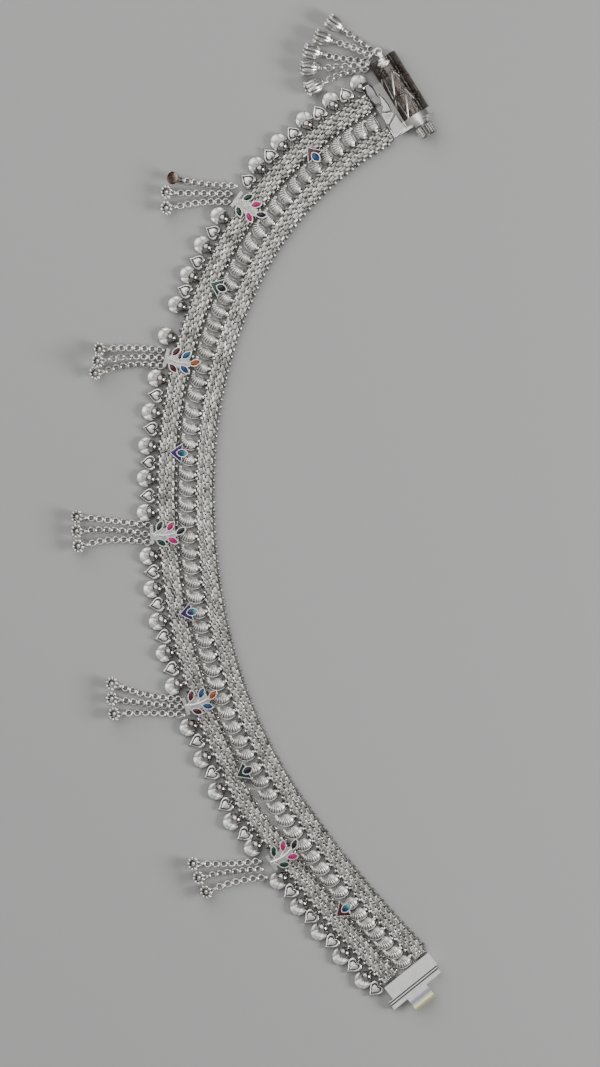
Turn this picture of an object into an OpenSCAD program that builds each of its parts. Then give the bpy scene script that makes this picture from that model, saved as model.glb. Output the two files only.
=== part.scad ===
// Silver anklet, lying open on a flat surface with its clasp at the upper end.
// Millimetres. X to the right, Y up, Z up from the surface.
// A place on the anklet is given by s, the distance along its inner edge from the first
// bend, and off, the distance outward from that edge.
// A piece placed there has its own X toward lower s and its own Y outward.

/* [Bands] */
// Width of the inner woven band
inner_w = 5; // [4.8:0.1:5.1]
// Width of the outer woven band
outer_w = 5.4; // [5.2:0.1:5.5]
// Space between the bands, filled by the shells
row_w = 4.75; // [4.7:0.05:4.9]
// Thickness of both bands
band_t = 1.9; // [1.7:0.05:2]

/* [Shells] */
// Height of a shell at its fullest
shell_h = 1.6; // [1.2:0.1:1.8]

/* [Fringe] */
// Width of a heart drop
heart_w = 4.1; // [3.8:0.1:4.1]
// Length of a heart drop, from lobes to point
heart_l = 4.4; // [4:0.1:4.5]
// Diameter of a fan drop's disc
fan_d = 4.5; // [4.2:0.1:4.5]
// Diameter of the ball on a fan drop
ball_d = 2.6; // [2.4:0.1:2.6]

/* [Tassels] */
// Diameter of a chain strand
chain_d = 1.85; // [1.6:0.05:1.85]
// Diameter of a bell's mouth
bell_d = 3.7; // [3.4:0.1:3.7]
// Height of a bell
bell_h = 4; // [3.6:0.1:4]
// Diameter of a bell's mouth in the clasp's bunch
bunch_bell_d = 4.3; // [4:0.1:4.4]
// Height of a bell in the clasp's bunch
bunch_bell_h = 5.6; // [5:0.1:5.6]
// Number of petals round a bell
petals = 9; // [8:1:10]

/* [Enamel settings] */
// Length of a leaf cell, rim included
leaf_l = 3.5; // [3.3:0.1:3.6]
// Width of a leaf cell, rim included
leaf_w = 1.85; // [1.7:0.05:1.9]
// Width of the silver rim round the enamel
rim_w = 0.28; // [0.2:0.02:0.3]
// Thickness of the silver under the enamel
plate_t = 0.45; // [0.4:0.05:0.5]
// Height of the rim above the plate
rim_h = 0.35; // [0.25:0.05:0.4]

/* [Clasp] */
// Width of the barrel
barrel_w = 7.7; // [7.4:0.1:7.8]
// Height of the barrel
barrel_h = 5.2; // [5:0.1:5.4]
// Length of the barrel
barrel_l = 18.8; // [18.4:0.1:18.8]
// Diameter of the screw pin
pin_d = 1; // [0.8:0.05:1.1]
// Diameter of the knurled knob
knob_d = 4.9; // [4.6:0.1:5]
// Length of the knurled knob
knob_l = 3.2; // [3:0.1:3.4]
// Number of flutes on the knob
flutes = 18; // [14:1:22]
// Thickness of both end plates
end_t = 2.5; // [2.3:0.1:2.6]

/* [Hidden] */

// Smoothness of round faces
round_fn = 48;
fine_fn = 96;
// Small space left between neighbouring pieces
gap = 0.1;
// How far a piece reaches into the one it is soldered to
bite = 0.2;
// Space under a strand or bell that lies on the surface
rest = 0.02;

// The inner edge: where it starts, which way it heads, and its bends as [length, radius]
start = [32.2, 93.7, 211.6];
bends = [[46.6, 82], [46.6, 120], [46.6, 158], [46.6, 127], [46.6, 280]];
band_first = -5.1;
band_last_inner = 237.7;
band_last_outer = 236.7;
ring_step = 4.6;
outer_off = inner_w + row_w;
fringe_off = outer_off + outer_w;
// Where the outer band bows away from the shells: its place, half its length, and how far
bow = [182, 14, 1.1];

// Section of a band as fractions of its width and thickness
band_section = [[0, 0.3], [0, 0.7], [0.08, 1], [0.92, 1], [1, 0.7], [1, 0.3], [0.92, 0], [0.08, 0]];

// Rows of shells as [first place, last place, number]
shell_runs = [[-2.3, 35.5, 12], [39.2, 78.8, 12], [83, 113.9, 9], [118, 147.8, 9],
    [151.3, 181.5, 9], [185.3, 215.8, 9], [219.3, 235.9, 6]];
// A shell's spine, fat end to tail, as [x, y, half width, height, heading]
shell_stations = [[-0.12, -2.2, 0.7, 0.6, 90], [-0.15, -1.4, 1.4, 1.5, 88],
    [-0.1, -0.3, 1.6, 1.6, 80], [0.2, 0.6, 1.35, 1.35, 60], [0.75, 1.3, 0.95, 1.05, 38],
    [1.35, 1.6, 0.7, 0.95, 15], [2, 1.62, 0.4, 0.5, 0]];
shell_off = inner_w + row_w / 2;
// Half of a shell's section as fractions of its half width and height
shell_section = [[-1, 0], [-0.75, 0.62], [0, 1], [0.75, 0.62], [1, 0]];
// Height of the fullest station above
shell_full = 1.6;

// Rows of the fringe as [first place, last place, number, 1 if the first is a fan]
fringe_runs = [[-4.7, -4.7, 1, 1], [-0.3, 27.7, 9, 0], [37.5, 66.7, 9, 1], [76.6, 107.5, 9, 1],
    [117.8, 148.5, 9, 1], [158.4, 190.1, 9, 1], [200, 235.9, 10, 1]];
// The place of the one missing heart: its row and its number there, both counted from 0
lost_heart = [2, 7];
// How far a heart and a fan hang out from the band
heart_out = 0.35;
fan_out = 0.2;
// Heights of a heart's plate, rim and raised inner heart
heart_z = [0.5, 1.2, 1.4];
// A heart's groove and inner heart as [share of the width, share of the length, shift outward]
heart_groove = [0.72, 0.7, 0.55];
heart_inner = [0.45, 0.46, 1.05];
// A fan's disc: thickness, distance of its centre from its ring, rise and fall of its V
fan_t = 0.9;
fan_mid = 2.8;
fan_rise = 0.4;
fan_fall = 1.6;

// Places of the leaf sprigs and the tulips
leaf_places = [32.6, 71.6, 112.9, 153.9, 195.7];
tulip_places = [13.5, 51.9, 93.2, 132.5, 173.6, 215.9];
// Leaves of a sprig as [x, distance from the inner edge, heading], tip last
leaf_cells = [[0.5, 9, -60], [1.9, 11.6, -40], [-1.8, 11.2, -119], [2.15, 14.4, -32],
    [-2.2, 14.2, -125]];
// Colour of each leaf on each sprig
leaf_colours = [["black", "pink", "pink", "green", "green"], ["orange", "blue", "blue", "red", "red"],
    ["black", "pink", "pink", "green", "green"], ["orange", "blue", "blue", "red", "red"],
    ["black", "pink", "pink", "green", "green"]];
// Colours of each tulip as [V, drop]
tulip_colours = [["red", "blue"], ["green", "black"], ["violet", "cyan"], ["violet", "cyan"],
    ["green", "black"], ["red", "cyan"]];
// Stalk of a leaf as [reach behind the cell, length, width]
stalk = [0.6, 1.4, 0.6];
// Plate under the stem as [x, distance from the inner edge, length, width]
stem_plate = [-0.1, 13.1, 7.4, 3.2];
// Height of the stem and of the bar above the plate, and the bar as [x, distance, length, width]
stem_h = 0.45;
bar_h = 0.2;
bar = [-2.2, 16.1, 4.6, 0.9];
// A tulip's V as [half span, start, notch, tip, half opening]: its plate, its cell, its enamel
v_plate = [2.65, 8.65, 9.9, 12.1, 0.9];
v_cell = [2.3, 8.9, 10.55, 11.75, 1.3];
v_enamel = [2.2, 8.95, 10.62, 11.66, 1.36];
// A tulip's drop: its distance from the inner edge, and its plate and cell as [length, width]
drop_off = 8.7;
drop_plate = [3.3, 2.2];
drop_cell = [2.6, 1.75];
setting_z = band_t + gap / 2;
cell_z = setting_z + plate_t;

// Strands as [tassel, root x, root y, middle x, middle y, bell x, bell y, root lift, bell lift]
strands = [
    [1, -5.2, 84.9, -12.4, 85.2, -21.6, 86.8, 0, 0],
    [1, -6.2, 82.8, -13.1, 82.9, -23.4, 83.1, 0, 0],
    [1, -6.7, 80.7, -13.9, 80.6, -23.4, 78.9, 0, 0],
    [2, -23.9, 42.1, -31.9, 42.7, -40.8, 42.3, 0, 0],
    [2, -24, 40, -31.9, 40.5, -41.2, 39.1, 0, 2.4],
    [2, -23.7, 37.9, -31.9, 38.3, -41.9, 36, 0, 0],
    [3, -26.9, -3.6, -36.3, -2.3, -46.7, -1.2, 0, 0],
    [3, -27.6, -5.9, -37.1, -4.7, -46.7, -5, 0, 0],
    [3, -27.1, -8.1, -36, -7.2, -46.3, -8.9, 0, 0],
    [4, -19.1, -48.8, -27.7, -47.6, -37.6, -44.5, 0, 0],
    [4, -18.7, -50.8, -27.7, -49.9, -37.6, -48.5, 0, 0],
    [4, -18.8, -52.8, -27.4, -52.2, -37, -52.5, 0, 0],
    [5, 1.1, -90.8, -7.7, -91.5, -16.4, -91.4, 0, 0],
    [5, 1.6, -92.9, -6.9, -93.7, -15, -95.1, 0, 0],
    [5, 2.6, -95, -5.1, -96.2, -13.1, -98.8, 0, 0],
    [6, 30.8, 119.8, 26.4, 123.1, 18.7, 128.2, 0, 0],
    [6, 29.8, 118.5, 24.9, 121, 15.3, 123.9, 2, 0],
    [6, 29.5, 117.3, 23.3, 117.9, 12.5, 120.1, 0, 0],
    [6, 29, 116.3, 22.7, 115.8, 11.7, 115.3, 2.1, 0],
    [6, 29.3, 115.3, 23.8, 114.4, 13.1, 109.7, 0, 0]];
chain_sides = 8;
chain_rings = 5;
// The strand that ends in a plain closed cup instead of a bell
plain_cup = 0;
// How far the axis of a bell rises from the surface, on a sprig and in the clasp's bunch
bell_rise = 55;
bunch_rise = 10;
neck_r = 0.5;
// How far a strand stops short of its bell's neck, and how much more for each mm of its lifts
strand_gap = 0.2;
lift_gap = 0.2;
// A bell from neck to mouth and back inside to its boss, as [radius, height, petal depth],
// radius and height as fractions of the mouth's radius and of the bell's height
bell_sections = [[0.27, 0, 0], [0.72, 0.35, 0.08], [1, 1, 0.16], [0.62, 0.62, 0.1], [0.3, 0.82, 0]];
// The plain cup: the same outside, closed by a flat dished face
cup_sections = [[0.27, 0, 0], [0.6, 0.35, 0], [1, 0.9, 0], [1, 1, 0], [0.86, 0.96, 0]];

// The clasp: its place, and the axis of its pin
clasp_s = -13.3;
barrel_first = 1.6;
barrel_last = barrel_first + barrel_l;
barrel_r = barrel_w / 2;
axis_z = 2.6;
pin_r = pin_d / 2;
fit = 0.05;
collar_first = 0.2;
// Raised band at the barrel's end as [length, how far it stands out], then its two collars
end_band = [1.6, 0.15];
collar_r = [2.6, 2.1];
collar_t = 0.75;
pin_first = -2.4;
pin_last = 17;
// The tongue: its span across the band, and its rolled eye
tongue_y = [6.8, 13.2];
eye_r = 0.9;
// The end plate of the clasp, from the barrel's side to the band
plate_x = [-8.1, -2.6];
plate_y = [0.9, 15.2];
// Raised shapes on that plate; the oval as [x, y, heading, length, width]
relief_h = 0.25;
kite = [[-4.5, 5.9], [-7.4, 4], [-7.8, 1.3], [-4.3, 1.2]];
triangle = [[-7.4, 7.9], [-4.7, 6.6], [-7.5, 4.6]];
oval = [-6.9, 12.1, 97, 3.4, 1.3];
// How far the lug's hole lies beyond the barrel
lug_out = 0.9;
lug_y = barrel_last + lug_out;
lug_z = 2.2;
// The lug's radius, thickness and hole
lug_r = 0.95;
lug_t = 0.9;
lug_hole = 0.55;
// Depth of the knob's flutes, of its plain rims and of the step down to them
flute_depth = 0.3;
knob_rim = 0.3;
knob_step = 0.4;
ring_r = 0.95;
wire_r = 0.25;

// The tongue plate: its place, its turn, its spans across the band, and where each step ends
tongue_s = 237.85;
tongue_turn = -5;
tongue_mid = 8.3;
end_y = [-7.5, 7.1];
lip_y = [-6.9, 8.6];
hasp_y = [-2, 4.2];
end_x = -3.9;
lip_x = -6.1;
lip_t = 2.2;
groove_t = 1.9;
groove_w = 0.35;
hasp_t = 0.8;
eye_x = -9.2;

// Position and heading after going len along a bend of radius r
function turn_by(p, len, r) =
    let (a = len / r * 180 / PI)
    [p[0] + r * (sin(p[2] + a) - sin(p[2])), p[1] - r * (cos(p[2] + a) - cos(p[2])), p[2] + a];

// Position and heading at s on the inner edge, which is straight before and after its bends
function pose(s, i = 0, p = start) =
    s < 0 && i == 0 || i == len(bends) ? [p[0] + s * cos(p[2]), p[1] + s * sin(p[2]), p[2]] :
    s <= bends[i][0] ? turn_by(p, s, bends[i][1]) :
    pose(s - bends[i][0], i + 1, turn_by(p, bends[i][0], bends[i][1]));

function at_point(s, off) = let (p = pose(s)) [p[0] + off * sin(p[2]), p[1] - off * cos(p[2])];

// How far the outer band stands away from the shells at s
function away(s) = abs(s - bow[0]) < bow[1] ? bow[2] * pow(cos(90 * (s - bow[0]) / bow[1]), 2) : 0;

// Evenly spaced places from first to last
function spread(first, last, count) =
    count == 1 ? [first] : [for (i = [0 : count - 1]) first + i * (last - first) / (count - 1)];

module at(s, off = 0) {
    q = at_point(s, off);
    translate([q[0], q[1], 0]) rotate([0, 0, pose(s)[2] + 180]) children();
}

// A closed skin over rings of equally many points
module skin(rings) {
    n = len(rings[0]);
    last = len(rings) - 1;
    polyhedron(
        points = [for (ring = rings) each ring],
        faces = concat(
            [[for (k = [0 : n - 1]) k]],
            [for (i = [0 : last - 1], k = [0 : n - 1])
                [i * n + k, (i + 1) * n + k, (i + 1) * n + (k + 1) % n, i * n + (k + 1) % n]],
            [[for (k = [0 : n - 1]) last * n + n - 1 - k]]));
}

// Shape drawn in X and Z, run along Y from y0 to y1
module along_y(y0, y1) {
    translate([0, y1, 0]) rotate([90, 0, 0]) linear_extrude(y1 - y0) children();
}

module band(off, width, first, last, bowed) {
    count = ceil((last - first) / ring_step) + 1;
    skin([for (s = spread(first, last, count))
        [for (c = band_section)
            let (q = at_point(s, off + c[0] * width + (bowed ? away(s) : 0)))
            [q[0], q[1], c[1] * band_t]]]);
}

module inner_band() {
    color("gainsboro") band(0, inner_w, band_first, band_last_inner, false);
}

module outer_band() {
    color("gainsboro") band(outer_off, outer_w, band_first, band_last_outer, true);
}

// Paisley shell: flat back, domed front
module shell() {
    skin([for (c = shell_stations)
        [for (p = shell_section)
            [c[0] + p[0] * c[2] * sin(c[4]), c[1] - p[0] * c[2] * cos(c[4]),
             p[1] * c[3] * shell_h / shell_full]]]);
}

module shell_row() {
    color("silver")
        for (run = shell_runs, s = spread(run[0], run[1], run[2]))
            at(s, shell_off) shell();
}

// Heart outline, point outward, lobes at y = 0
module heart_outline(width, length) {
    points = [for (t = [0 : 18 : 342])
        [pow(sin(t), 3) / 2 * width,
         (12 - 13 * cos(t) + 5 * cos(2 * t) + 2 * cos(3 * t) + cos(4 * t)) / 29 * length]];
    polygon(points);
}

// Heart drop: plate, raised rim and raised inner heart
module heart_drop() {
    linear_extrude(heart_z[0]) heart_outline(heart_w, heart_l);
    linear_extrude(heart_z[1]) difference() {
        heart_outline(heart_w, heart_l);
        part_heart(heart_groove);
    }
    linear_extrude(heart_z[2]) part_heart(heart_inner);
}

module part_heart(share) {
    translate([0, share[2]]) heart_outline(heart_w * share[0], heart_l * share[1]);
}

// Places of the hearts or of the fans in one row
function fringe_places(row, fans) =
    let (run = fringe_runs[row], all_places = spread(run[0], run[1], run[2]))
    [for (i = [0 : run[2] - 1])
        if (((i + run[3]) % 2 == 1) == fans && [row, i] != lost_heart) all_places[i]];

module heart_drops() {
    color("silver")
        for (row = [0 : len(fringe_runs) - 1], s = fringe_places(row, false))
            at(s, fringe_off + away(s) + heart_out) heart_drop();
}

// Fan drop: a disc cut to a wide V, with a ball seated in the V
module fan_drop() {
    r = fan_d / 2;
    out = r + 1;
    translate([0, ball_d / 2, ball_d / 2]) sphere(d = ball_d, $fn = round_fn);
    translate([0, fan_mid, 0]) linear_extrude(fan_t) difference() {
        circle(r, $fn = round_fn);
        polygon([[0, -fan_rise], [-out, -fan_rise - fan_fall], [-out, -out], [out, -out],
            [out, -fan_rise - fan_fall]]);
    }
}

module fan_drops() {
    color("gainsboro")
        for (row = [0 : len(fringe_runs) - 1], s = fringe_places(row, true))
            at(s, fringe_off + away(s) + fan_out) fan_drop();
}

// Leaf outline, pointed at both ends, along X
module lens(length, width) {
    r = (length * length + width * width) / (4 * width);
    intersection() {
        translate([0, r - width / 2]) circle(r, $fn = fine_fn);
        translate([0, width / 2 - r]) circle(r, $fn = fine_fn);
    }
}

// The leaves of a sprig, each drawn as the child given
module each_leaf(i) {
    c = leaf_cells[i];
    translate([c[0], c[1]]) rotate([0, 0, c[2]]) children();
}

// Bowed stem from the bar up to the foremost leaf
module stem_outline() {
    spine = [for (t = [0 : 0.2 : 1])
        [0.35 - 0.25 * t - 0.55 * sin(180 * t), 16.6 - 6.2 * t, 0.42 - 0.15 * t]];
    polygon(concat([for (b = spine) [b[0] - b[2], b[1]]],
        [for (i = [len(spine) - 1 : -1 : 0]) [spine[i][0] + spine[i][2], spine[i][1]]]));
}

module leaf_plate(place) {
    color("silver") at(place) translate([0, 0, setting_z]) {
        linear_extrude(plate_t) {
            for (i = [0 : len(leaf_cells) - 1]) each_leaf(i) {
                lens(leaf_l, leaf_w);
                translate([-leaf_l / 2 - stalk[0], -stalk[2] / 2]) square([stalk[1], stalk[2]]);
            }
            translate([stem_plate[0], stem_plate[1]]) rotate([0, 0, 90]) lens(stem_plate[2], stem_plate[3]);
        }
        linear_extrude(plate_t + rim_h)
            for (i = [0 : len(leaf_cells) - 1]) each_leaf(i) difference() {
                lens(leaf_l, leaf_w);
                lens(leaf_l - 3 * rim_w, leaf_w - 2 * rim_w);
            }
        linear_extrude(plate_t + stem_h) stem_outline();
        // Bar over the roots of the three strands
        translate([bar[0], bar[1], 0]) cube([bar[2], bar[3], plate_t + bar_h]);
    }
}

module leaf_enamel(colour) {
    for (sprig = [0 : len(leaf_places) - 1], i = [0 : len(leaf_cells) - 1])
        if (leaf_colours[sprig][i] == colour)
            at(leaf_places[sprig]) translate([0, 0, cell_z + gap / 2]) linear_extrude(rim_h - gap)
                each_leaf(i) lens(leaf_l - 3 * rim_w - gap, leaf_w - 2 * rim_w - gap);
}

// The V of a tulip: arms up to the shells, tip outward on the band
module vee(v) {
    polygon([[-v[0], v[1]], [-v[4], v[1]], [0, v[2]], [v[4], v[1]], [v[0], v[1]], [0, v[3]]]);
}

module drop(length, width) {
    translate([0, drop_off]) rotate([0, 0, 90]) lens(length, width);
}

module tulip_plate(place) {
    color("silver") at(place) translate([0, 0, setting_z]) {
        difference() {
            linear_extrude(plate_t + rim_h) {
                vee(v_plate);
                drop(drop_plate[0], drop_plate[1]);
            }
            translate([0, 0, plate_t]) linear_extrude(rim_h + 1) {
                vee(v_cell);
                drop(drop_cell[0], drop_cell[1]);
            }
        }
    }
}

module tulip_enamel(colour) {
    for (i = [0 : len(tulip_places) - 1])
        at(tulip_places[i]) translate([0, 0, cell_z + gap / 2]) linear_extrude(rim_h - gap) {
            if (tulip_colours[i][0] == colour) vee(v_enamel);
            if (tulip_colours[i][1] == colour) drop(drop_cell[0] - gap, drop_cell[1] - gap);
        }
}

module enamel(colour, shade) {
    color(shade) {
        leaf_enamel(colour);
        tulip_enamel(colour);
    }
}

// Which way a strand runs into its bell, how steeply the bell rises, how wide and high the bell
// is, and how far short of the mouth's middle the strand stops
function strand_heading(r) = atan2(r[6] - r[4], r[5] - r[3]);
function rise(r) = r[0] == 6 ? bunch_rise : bell_rise;
function mouth_r(r) = (r[0] == 6 ? bunch_bell_d : bell_d) / 2;
function height(r) = r[0] == 6 ? bunch_bell_h : bell_h;
function reach(r) =
    height(r) * cos(rise(r)) + neck_r * sin(rise(r)) + strand_gap + lift_gap * (r[7] + r[8]);
function strand_end(r) = [r[5], r[6]] - reach(r) * [cos(strand_heading(r)), sin(strand_heading(r))];

// Centre of a strand at t from 0 at its root to 1 at its bell
function strand_point(r, t) =
    let (flat = (1 - t) * (1 - 2 * t) * [r[1], r[2]] + 4 * t * (1 - t) * [r[3], r[4]]
        + t * (2 * t - 1) * strand_end(r))
    [flat[0], flat[1], chain_d / 2 + rest + r[7] * (1 - t * t) + r[8] * t * t];

module strand(r) {
    step = 1 / (chain_rings - 1);
    skin([for (i = [0 : chain_rings - 1])
        let (p = strand_point(r, i * step),
            d = strand_point(r, i * step + 0.01) - strand_point(r, i * step - 0.01),
            along = d / norm(d),
            side = [-along[1], along[0], 0] / norm([along[0], along[1]]),
            up = cross(along, side))
        [for (k = [0 : chain_sides - 1])
            p + chain_d / 2 * (cos(k * 360 / chain_sides) * side + sin(k * 360 / chain_sides) * up)]]);
}

module tassel_chains(number) {
    color("silver") for (r = strands) if (r[0] == number) strand(r);
}

// Petalled cup from its neck up, mouth on top
module cup(sections, mouth, tall) {
    skin([for (c = sections)
        [for (k = [0 : 2 * petals - 1])
            let (a = k * 180 / petals, across = mouth * c[0] * (1 - c[2] * (k % 2)))
            [across * cos(a), across * sin(a), c[1] * tall]]]);
}

// Height of the mouth's middle at which the bell just clears the surface
function mouth_z(r, sections) =
    rest + max([for (c = sections)
        (1 - c[1]) * height(r) * sin(rise(r)) + c[0] * mouth_r(r) * cos(rise(r))]);

module bell(r, sections) {
    translate([r[5], r[6], mouth_z(r, sections) + r[8]])
        rotate([0, 90 - rise(r), strand_heading(r)])
            translate([0, 0, -height(r)]) cup(sections, mouth_r(r), height(r));
}

module tassel_bells(number) {
    color("gainsboro")
        for (i = [0 : len(strands) - 1])
            if (strands[i][0] == number) bell(strands[i], i == plain_cup ? cup_sections : bell_sections);
}

// Section of the barrel: a round top on a flat back
module barrel_section(grow = 0) {
    intersection() {
        translate([0, barrel_h - barrel_r]) circle(barrel_r + grow, $fn = fine_fn);
        translate([-barrel_r - 1, 0]) square([barrel_w + 2, barrel_h + 1]);
    }
}

module axis_rod(y0, y1, r) {
    translate([0, y1, axis_z]) rotate([90, 0, 0]) cylinder(y1 - y0, r, r, $fn = round_fn);
}

// Raised kite, small triangle and pointed oval on the clasp's end plate
module plate_relief() {
    translate([0, 0, end_t - bite]) linear_extrude(relief_h + bite) {
        polygon(kite);
        polygon(triangle);
        translate([oval[0], oval[1]]) rotate([0, 0, oval[2]]) lens(oval[3], oval[4]);
    }
}

// Lug at the outer end of the barrel, drilled along X for the ring
module lug() {
    difference() {
        union() {
            translate([-lug_t / 2, lug_y, lug_z]) rotate([0, 90, 0])
                cylinder(lug_t, lug_r, lug_r, $fn = round_fn);
            translate([-lug_t / 2, barrel_last - bite, lug_z - lug_r])
                cube([lug_t, lug_out + bite, 2 * lug_r]);
        }
        translate([-lug_t, lug_y, lug_z]) rotate([0, 90, 0])
            cylinder(2 * lug_t, lug_hole, lug_hole, $fn = round_fn);
    }
}

module clasp_box() {
    color("silver") at(clasp_s) {
        difference() {
            union() {
                along_y(barrel_first, barrel_last) barrel_section();
                along_y(barrel_first, barrel_first + end_band[0]) barrel_section(end_band[1]);
                axis_rod(barrel_first - collar_t, barrel_first + bite, collar_r[0]);
                axis_rod(collar_first, barrel_first, collar_r[1]);
                translate([plate_x[0], plate_y[0], 0])
                    cube([plate_x[1] - plate_x[0], plate_y[1] - plate_y[0], end_t]);
                plate_relief();
            }
            axis_rod(collar_first - 1, pin_last + 0.2, pin_r + fit);
            // Pocket for the tongue, open on the side away from the band
            translate([-1.1, tongue_y[0] - 0.2, axis_z - eye_r - 0.2])
                cube([barrel_w, tongue_y[1] - tongue_y[0] + 0.4, 2 * eye_r + 0.4]);
        }
        lug();
    }
}

// Ring through the lug, flat, so that its wire crosses the lug's hole
module bunch_ring() {
    color("silver") at(clasp_s) translate([0, lug_y + ring_r, lug_z])
        rotate_extrude($fn = round_fn) translate([ring_r, 0]) circle(wire_r, $fn = 24);
}

module screw_pin() {
    color("darkgray") at(clasp_s) axis_rod(pin_first, pin_last, pin_r);
}

// Knob with straight flutes, drilled blind for the pin
module screw_knob() {
    star = [for (k = [0 : 2 * flutes - 1])
        let (a = k * 180 / flutes, r = knob_d / 2 - flute_depth * (k % 2)) [r * cos(a), r * sin(a)]];
    color("silver") at(clasp_s) difference() {
        union() {
            translate([0, 0, axis_z]) along_y(-knob_l + knob_rim, -knob_rim) polygon(star);
            axis_rod(-knob_l, 0, knob_d / 2 - knob_step);
        }
        axis_rod(pin_first - 0.1, 1, pin_r + fit);
    }
}

// Flat block from x0 to x1, over a span across the band
module slab(x0, x1, span, z, t) {
    translate([x0, span[0], z]) cube([x1 - x0, span[1] - span[0], t]);
}

module eye_rod(r, span) {
    translate([eye_x, span[0], axis_z]) rotate([-90, 0, 0])
        cylinder(span[1] - span[0], r, r, $fn = round_fn);
}

// End plate, grooved lip, and tongue rolled round the eye for the pin
module tongue_plate() {
    color("gainsboro")
        at(tongue_s) translate([0, tongue_mid, 0]) rotate([0, 0, tongue_turn]) {
            slab(end_x, 0, end_y, 0, end_t);
            difference() {
                slab(lip_x, end_x + bite, lip_y, 0, lip_t);
                for (x = [end_x - groove_w, end_x - 3 * groove_w])
                    slab(x, x + groove_w, [lip_y[0] - 1, lip_y[1] + 1], groove_t, 1);
            }
            difference() {
                union() {
                    slab(eye_x, lip_x + bite, hasp_y, axis_z - eye_r, hasp_t);
                    eye_rod(eye_r, hasp_y);
                }
                eye_rod(pin_r + 2 * fit, [hasp_y[0] - 1, hasp_y[1] + 1]);
            }
        }
}

inner_band();
outer_band();
shell_row();
heart_drops();
fan_drops();
leaf_plate(leaf_places[0]);  // leaf_plate_1
leaf_plate(leaf_places[1]);  // leaf_plate_2
leaf_plate(leaf_places[2]);  // leaf_plate_3
leaf_plate(leaf_places[3]);  // leaf_plate_4
leaf_plate(leaf_places[4]);  // leaf_plate_5
tulip_plate(tulip_places[0]);  // tulip_plate_1
tulip_plate(tulip_places[1]);  // tulip_plate_2
tulip_plate(tulip_places[2]);  // tulip_plate_3
tulip_plate(tulip_places[3]);  // tulip_plate_4
tulip_plate(tulip_places[4]);  // tulip_plate_5
tulip_plate(tulip_places[5]);  // tulip_plate_6
enamel("pink", "deeppink");  // enamel_pink
enamel("green", "darkgreen");  // enamel_green
enamel("black", "midnightblue");  // enamel_black
enamel("red", "darkred");  // enamel_red
enamel("blue", "steelblue");  // enamel_blue
enamel("orange", "darkorange");  // enamel_orange
enamel("violet", "indigo");  // enamel_violet
enamel("cyan", "teal");  // enamel_cyan
tassel_chains(1);  // tassel_chains_1
tassel_chains(2);  // tassel_chains_2
tassel_chains(3);  // tassel_chains_3
tassel_chains(4);  // tassel_chains_4
tassel_chains(5);  // tassel_chains_5
tassel_chains(6);  // tassel_chains_6
tassel_bells(1);  // tassel_bells_1
tassel_bells(2);  // tassel_bells_2
tassel_bells(3);  // tassel_bells_3
tassel_bells(4);  // tassel_bells_4
tassel_bells(5);  // tassel_bells_5
tassel_bells(6);  // tassel_bells_6
clasp_box();
bunch_ring();
screw_pin();
screw_knob();
tongue_plate();
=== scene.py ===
"""Silver anklet lying open: woven bands, shells, heart and fan drops, enamelled sprigs and tulips,
chain tassels with bells, and a screw clasp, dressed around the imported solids.

Shapes are modelled once, in millimetres, and copied into joined meshes in metres. A place on the
anklet is s, the distance along its inner edge from the first bend, and off, the distance outward.
A piece placed there has its own X toward lower s and its own Y outward.
"""

import random
from math import asin, atan2, cos, hypot, pi, radians, sin, sqrt

import bpy
import numpy as np
from mathutils import Matrix, Vector


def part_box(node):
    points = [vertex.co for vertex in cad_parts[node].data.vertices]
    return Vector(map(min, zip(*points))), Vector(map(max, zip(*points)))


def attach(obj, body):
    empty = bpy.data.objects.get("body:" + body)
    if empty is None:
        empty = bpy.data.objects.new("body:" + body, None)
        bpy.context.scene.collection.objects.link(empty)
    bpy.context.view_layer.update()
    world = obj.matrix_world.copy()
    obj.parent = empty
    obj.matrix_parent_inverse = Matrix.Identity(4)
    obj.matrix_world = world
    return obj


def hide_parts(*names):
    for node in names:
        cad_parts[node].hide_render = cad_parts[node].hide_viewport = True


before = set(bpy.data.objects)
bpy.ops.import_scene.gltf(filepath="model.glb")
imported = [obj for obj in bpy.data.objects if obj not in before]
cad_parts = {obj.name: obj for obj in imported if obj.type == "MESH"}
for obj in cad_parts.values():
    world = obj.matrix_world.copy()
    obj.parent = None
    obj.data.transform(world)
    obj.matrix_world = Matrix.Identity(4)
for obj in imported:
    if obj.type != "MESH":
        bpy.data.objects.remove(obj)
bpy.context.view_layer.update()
bpy.context.tool_settings.mesh_select_mode = (False, False, True)

MM = 0.001
dice = random.Random(11)

# The photograph: one pixel on the anklet in mm, and the pixel over the row's origin
PIXEL = 0.26
PHOTO_SIZE = (600, 1067)
PHOTO_ORIGIN = (255.54, 512.12)

# The inner edge: where it starts and heads, and its bends as (length, radius)
START = (32.2, 93.7, radians(211.6))
BENDS = ((46.6, 82), (46.6, 120), (46.6, 158), (46.6, 127), (46.6, 280))
BAND_T = 1.9
INNER_W, ROW_W, OUTER_W = 5, 4.75, 5.4
OUTER_OFF = INNER_W + ROW_W
FRINGE_OFF = OUTER_OFF + OUTER_W
SHELL_OFF = INNER_W + ROW_W / 2
BAND_FIRST, INNER_LAST, OUTER_LAST = -5.1, 237.7, 236.7
# Where the outer band bows away from the shells: its place, half its length, and how far
BOW = (182, 14, 1.1)

# Rows of shells as (first place, last place, number)
SHELL_RUNS = (
    (-2.3, 35.5, 12), (39.2, 78.8, 12), (83, 113.9, 9), (118, 147.8, 9),
    (151.3, 181.5, 9), (185.3, 215.8, 9), (219.3, 235.9, 6),
)
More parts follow.
